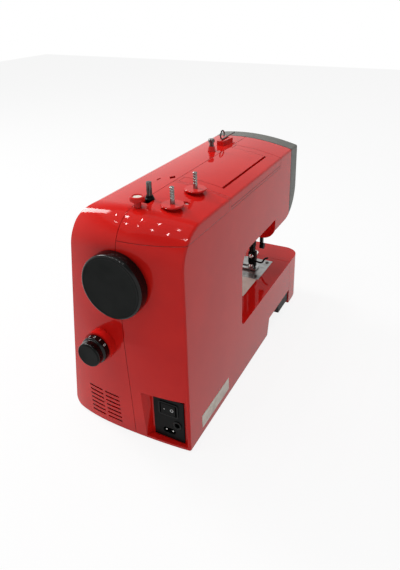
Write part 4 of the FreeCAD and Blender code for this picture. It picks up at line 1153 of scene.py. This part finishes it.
@dataclass
class FrontControls(Assembly):
    """Tension dial, pattern dial and reverse lever on the leaning front."""

    lean: float = 8.3
    front_y: float = -86.0
    base_z: float = 3.0
    dials: tuple[FrontDial, ...] = (
        FrontDial("tension_dial", "tension_control", x=-60, z=244, radius=14, tall=12, flutes=24,
                  marks="0123456789", mark_size=2.6, sweep=288),
        FrontDial("pattern_dial", "pattern_control", x=105, z=165, radius=25, tall=15, flutes=36,
                  marks=[str(number) for number in range(1, 13)], mark_size=3.8, sweep=330))
    index_gap: float = 4.0
    flute_start: float = 4.2
    flute_depth: float = 0.22
    mark_inset: float = 4.8
    mark_sink: float = 0.28
    mark_thick: float = 0.1

    def build(self) -> None:
        """Turn the two dials with their grip flutes and lay numbers and an index round them."""
        for dial in self.dials:
            self._dial(dial)

    def _centre(self, dial: FrontDial) -> Array:
        """Where a dial's axis meets the front."""
        rise = dial.z - self.base_z
        return np.array([dial.x, self.front_y + rise * math.tan(math.radians(self.lean)), dial.z])

    def _flutes(self, dial: FrontDial, angle: Array, along: Array) -> Array:
        """A dial's grip: a cosine over the angle, between its skirt and its face."""
        grip = (along > self.flute_start) & (along < dial.tall - 1)
        return np.where(grip, self.flute_depth * np.cos(dial.flutes * angle), 0)

    def _dial(self, dial: FrontDial) -> None:
        """Make one dial with its numbers and its index dot."""
        wide, tall = dial.radius, dial.tall
        section = Meshes.eased([
            (-12, 0, 0), (-12, 5, 0.4), (0.6, 5, 0.2), (0.6, wide, 0.4), (3, wide, 0.5), (4, wide - 1.2, 0.4),
            (tall - 1.5, wide - 2.2, 0.9), (tall, wide - 4, 0.6), (tall - 0.3, wide - 4.6, 0.2),
            (tall - 0.3, 0, 0)])
        piece = Meshes.turned(dial.node + "_grip", self._centre(dial), Axis.FRONT, section,
                              turns=dial.flutes * 8,
                              ripple=lambda angle, along: self._flutes(dial, angle, along))
        self.add(piece, Paint.BLACK, dial.body, "black_plastic", (dial.node,))
        for order, mark in enumerate(dial.marks):
            turn = math.radians(90 + dial.sweep / 2 - order * dial.sweep / (len(dial.marks) - 1))
            number = Meshes.lettering(f"{dial.node}_mark_{order}", mark, dial.mark_size, self.mark_thick,
                                      lambda flat: self._ring(flat, dial, turn))
            self.add(number, Paint.MARK, dial.body, "plain_plastic")
        dot = Meshes.eased([(-0.4, 0, 0), (-0.4, 1.3, 0), (0.15, 1.3, 0.1), (0.25, 0, 0)])
        spot = self._centre(dial) + np.array(Axis.FRONT.value[2]) * (wide + self.index_gap)
        index = Meshes.turned(dial.node + "_index", spot, Axis.FRONT, dot, turns=32)
        self.add(index, Paint.MARK, "machine", "plain_plastic")

    def _ring(self, flat: Array, dial: FrontDial, turn: float) -> Array:
        """Lay a number near the rim of a dial's face, with its head outwards."""
        along, across, third = (np.array(item) for item in Axis.FRONT.value)
        out = math.cos(turn) * across + math.sin(turn) * third
        side = math.sin(turn) * across - math.cos(turn) * third
        reach = dial.radius - self.mark_inset - dial.mark_size * 0.7
        rise = dial.tall - self.mark_sink + flat[:, 2:]
        return self._centre(dial) + rise * along + (reach + flat[:, 1:2]) * out + flat[:, :1] * side

    def dress(self) -> None:
        """Put the finish on the reverse lever."""
        self.soften("reverse_lever", 0.5, Paint.BLACK, "reverse", "black_plastic")


@dataclass
class Works(Assembly):
    """The drive inside the casing."""

    def dress(self) -> None:
        """Put the finishes on the drive."""
        self.paint(Paint.ALLOY, "frame_casting")
        self.paint(Paint.STEEL, "main_shaft", "lower_shaft", "crank_disc", "motor", "shuttle_race",
                   "shuttle_hook")
        self.paint(Paint.BRASS, "shaft_bushes")
        self.paint(Paint.BLACK, "belt_pulley", "motor_pulley", "upper_timing_pulley", "lower_timing_pulley",
                   "bobbin_case")
        self.paint(Paint.WHITE, "bobbin")
        self.paint(Paint.RUBBER, "drive_belt", "timing_belt")


@dataclass
class Studio:
    """Camera, pale floor, white surroundings and soft lamps."""

    eye: tuple[float, float, float] = (0.5774, 0.3172, 0.493)
    bearing: float = 63.05
    tilt: float = 23.1
    roll: float = -1.16
    focal_px: float = 535.6
    principal: tuple[float, float] = (208.2, 215.7)
    image: tuple[int, int] = (400, 570)
    sensor: float = 36.0
    ambient: float = 0.34
    ceiling: float = 0.7
    ceiling_span: tuple[float, float] = (0.32, 0.7)
    floor_reach: float = 3000.0
    floor_level: float = -0.05
    floor_glow: float = 0.88
    aim: tuple[float, float, float] = (0.05, 0, 0.15)
    strip_rows: tuple[float, float] = (0.1, 0.7)
    strip_count: int = 6
    strip_start: float = -1.05
    strip_pitch: float = 0.3
    strip_height: float = 1.7
    strip_size: tuple[float, float] = (0.18, 0.03)
    strip_power: float = 0.9

    def camera(self) -> None:
        """Stand the camera where the photograph was taken."""
        data = bpy.data.cameras.new("camera")
        data.sensor_width = self.sensor
        data.lens = self.focal_px * self.sensor / max(self.image)
        data.shift_x = (self.image[0] / 2 - self.principal[0]) / max(self.image)
        data.shift_y = (self.principal[1] - self.image[1] / 2) / max(self.image)
        data.clip_start, data.clip_end = 0.01, 100
        bearing, tilt, roll = (math.radians(item) for item in (self.bearing, self.tilt, self.roll))
        flat = Vector((-math.sin(bearing), -math.cos(bearing), 0))
        ahead = flat * math.cos(tilt) - Vector((0, 0, math.sin(tilt)))
        level = ahead.cross(Vector((0, 0, 1))).normalized()
        right = level * math.cos(roll) + level.cross(ahead) * math.sin(roll)
        turn = Matrix((right, right.cross(ahead), -ahead)).transposed().to_4x4()
        camera = placed("camera", data)
        camera.matrix_world = Matrix.Translation(self.eye) @ turn
        bpy.context.scene.camera = camera

    @staticmethod
    def _seen(graph: Graph) -> Wire:
        """1 for rays from the camera, from gloss and through glass."""
        rays = graph.node("ShaderNodeLightPath").socket.node.outputs
        kinds = ("Is Camera Ray", "Is Glossy Ray", "Is Transmission Ray")
        camera, glossy, through = (Wire(graph, rays[kind]) for kind in kinds)
        return camera + glossy + through > 0.5

    def surroundings(self) -> None:
        """A world that looks white and lights the object at a plain level."""
        world = bpy.data.worlds.new("white_room")
        bpy.context.scene.world = world
        graph = Graph(world)
        way = graph.node("ShaderNodeTexCoord", output="Generated")
        height = graph.node("ShaderNodeSeparateXYZ", sockets={0: way}, output=2)
        shown = 1 - height.ramp(*self.ceiling_span) * self.ceiling
        strength = self._seen(graph) * (shown - self.ambient) + self.ambient
        sky = graph.node("ShaderNodeBackground", sockets={"Color": (1, 1, 1, 1), "Strength": strength})
        graph.close(sky, "ShaderNodeOutputWorld")

    def floor(self) -> None:
        """A pale floor that looks white and keeps the object's shadow."""
        side = np.linspace(-self.floor_reach, self.floor_reach, 9)
        x, y = np.meshgrid(side, side)
        points = np.stack([x, y, np.full_like(x, self.floor_level)], -1)
        sheet = Meshes.grid("floor", points, wrap_columns=False)
        material = bpy.data.materials.new("floor_white")
        graph = Graph(material)
        matt = graph.node("ShaderNodeBsdfDiffuse", sockets={"Color": (0.9, 0.9, 0.9, 1)})
        glow = graph.node("ShaderNodeEmission", sockets={"Color": (1, 1, 1, 1), "Strength": 1.0})
        share = self._seen(graph) * self.floor_glow
        graph.close(graph.node("ShaderNodeMixShader", sockets={0: share, 1: matt, 2: glow}))
        sheet.data.materials.append(material)

    def lamps(self) -> None:
        """A large soft lamp, a window, and rows of small ceiling lamps that show in the gloss."""
        self._lamp("key", spot=(0.3, -0.5, 2.2), size=(2.4, 2.4), power=11)
        self._lamp("window", spot=(-0.15, -1.5, 1.4), size=(0.36, 0.7), power=15)
        for row, x in enumerate(self.strip_rows):
            for column in range(self.strip_count):
                spot = (x, self.strip_start + self.strip_pitch * column, self.strip_height)
                self._lamp(f"ceiling_{row}_{column}", spot, self.strip_size, self.strip_power, level=True)

    def _lamp(self, name: str, spot: Sequence[float], size: tuple[float, float], power: float,
              level: bool = False) -> None:
        """One area lamp that faces the machine or the floor.

        Args:
            name: its name.
            spot: where it hangs, in metres.
            size: its two sides.
            power: its power in watts.
            level: it hangs level and faces the floor.
        """
        data = bpy.data.lights.new(name, "AREA")
        data.shape = "RECTANGLE"
        data.size, data.size_y = size
        data.energy = power
        lamp = placed(name, data)
        lamp.location = spot
        if not level:
            way = Vector(self.aim) - Vector(spot)
            lamp.rotation_euler = way.to_track_quat("-Z", "Y").to_euler()

    def build(self) -> None:
        """Set up the studio."""
        bpy.context.scene.view_settings.view_transform = "Standard"
        self.camera()
        self.surroundings()
        self.floor()
        self.lamps()


def main() -> None:
    """Build and dress each sub-assembly in turn, then the studio."""
    logging.basicConfig(level=logging.INFO, format="%(name)s %(message)s")
    for part in (Casing(), Table(), Wheel(), LengthDial(), PowerPanel(), TopFittings(), Head(),
                 FrontControls(), Works()):
        part.build()
        part.dress()
    Studio().build()


if __name__ == "__main__":
    main()
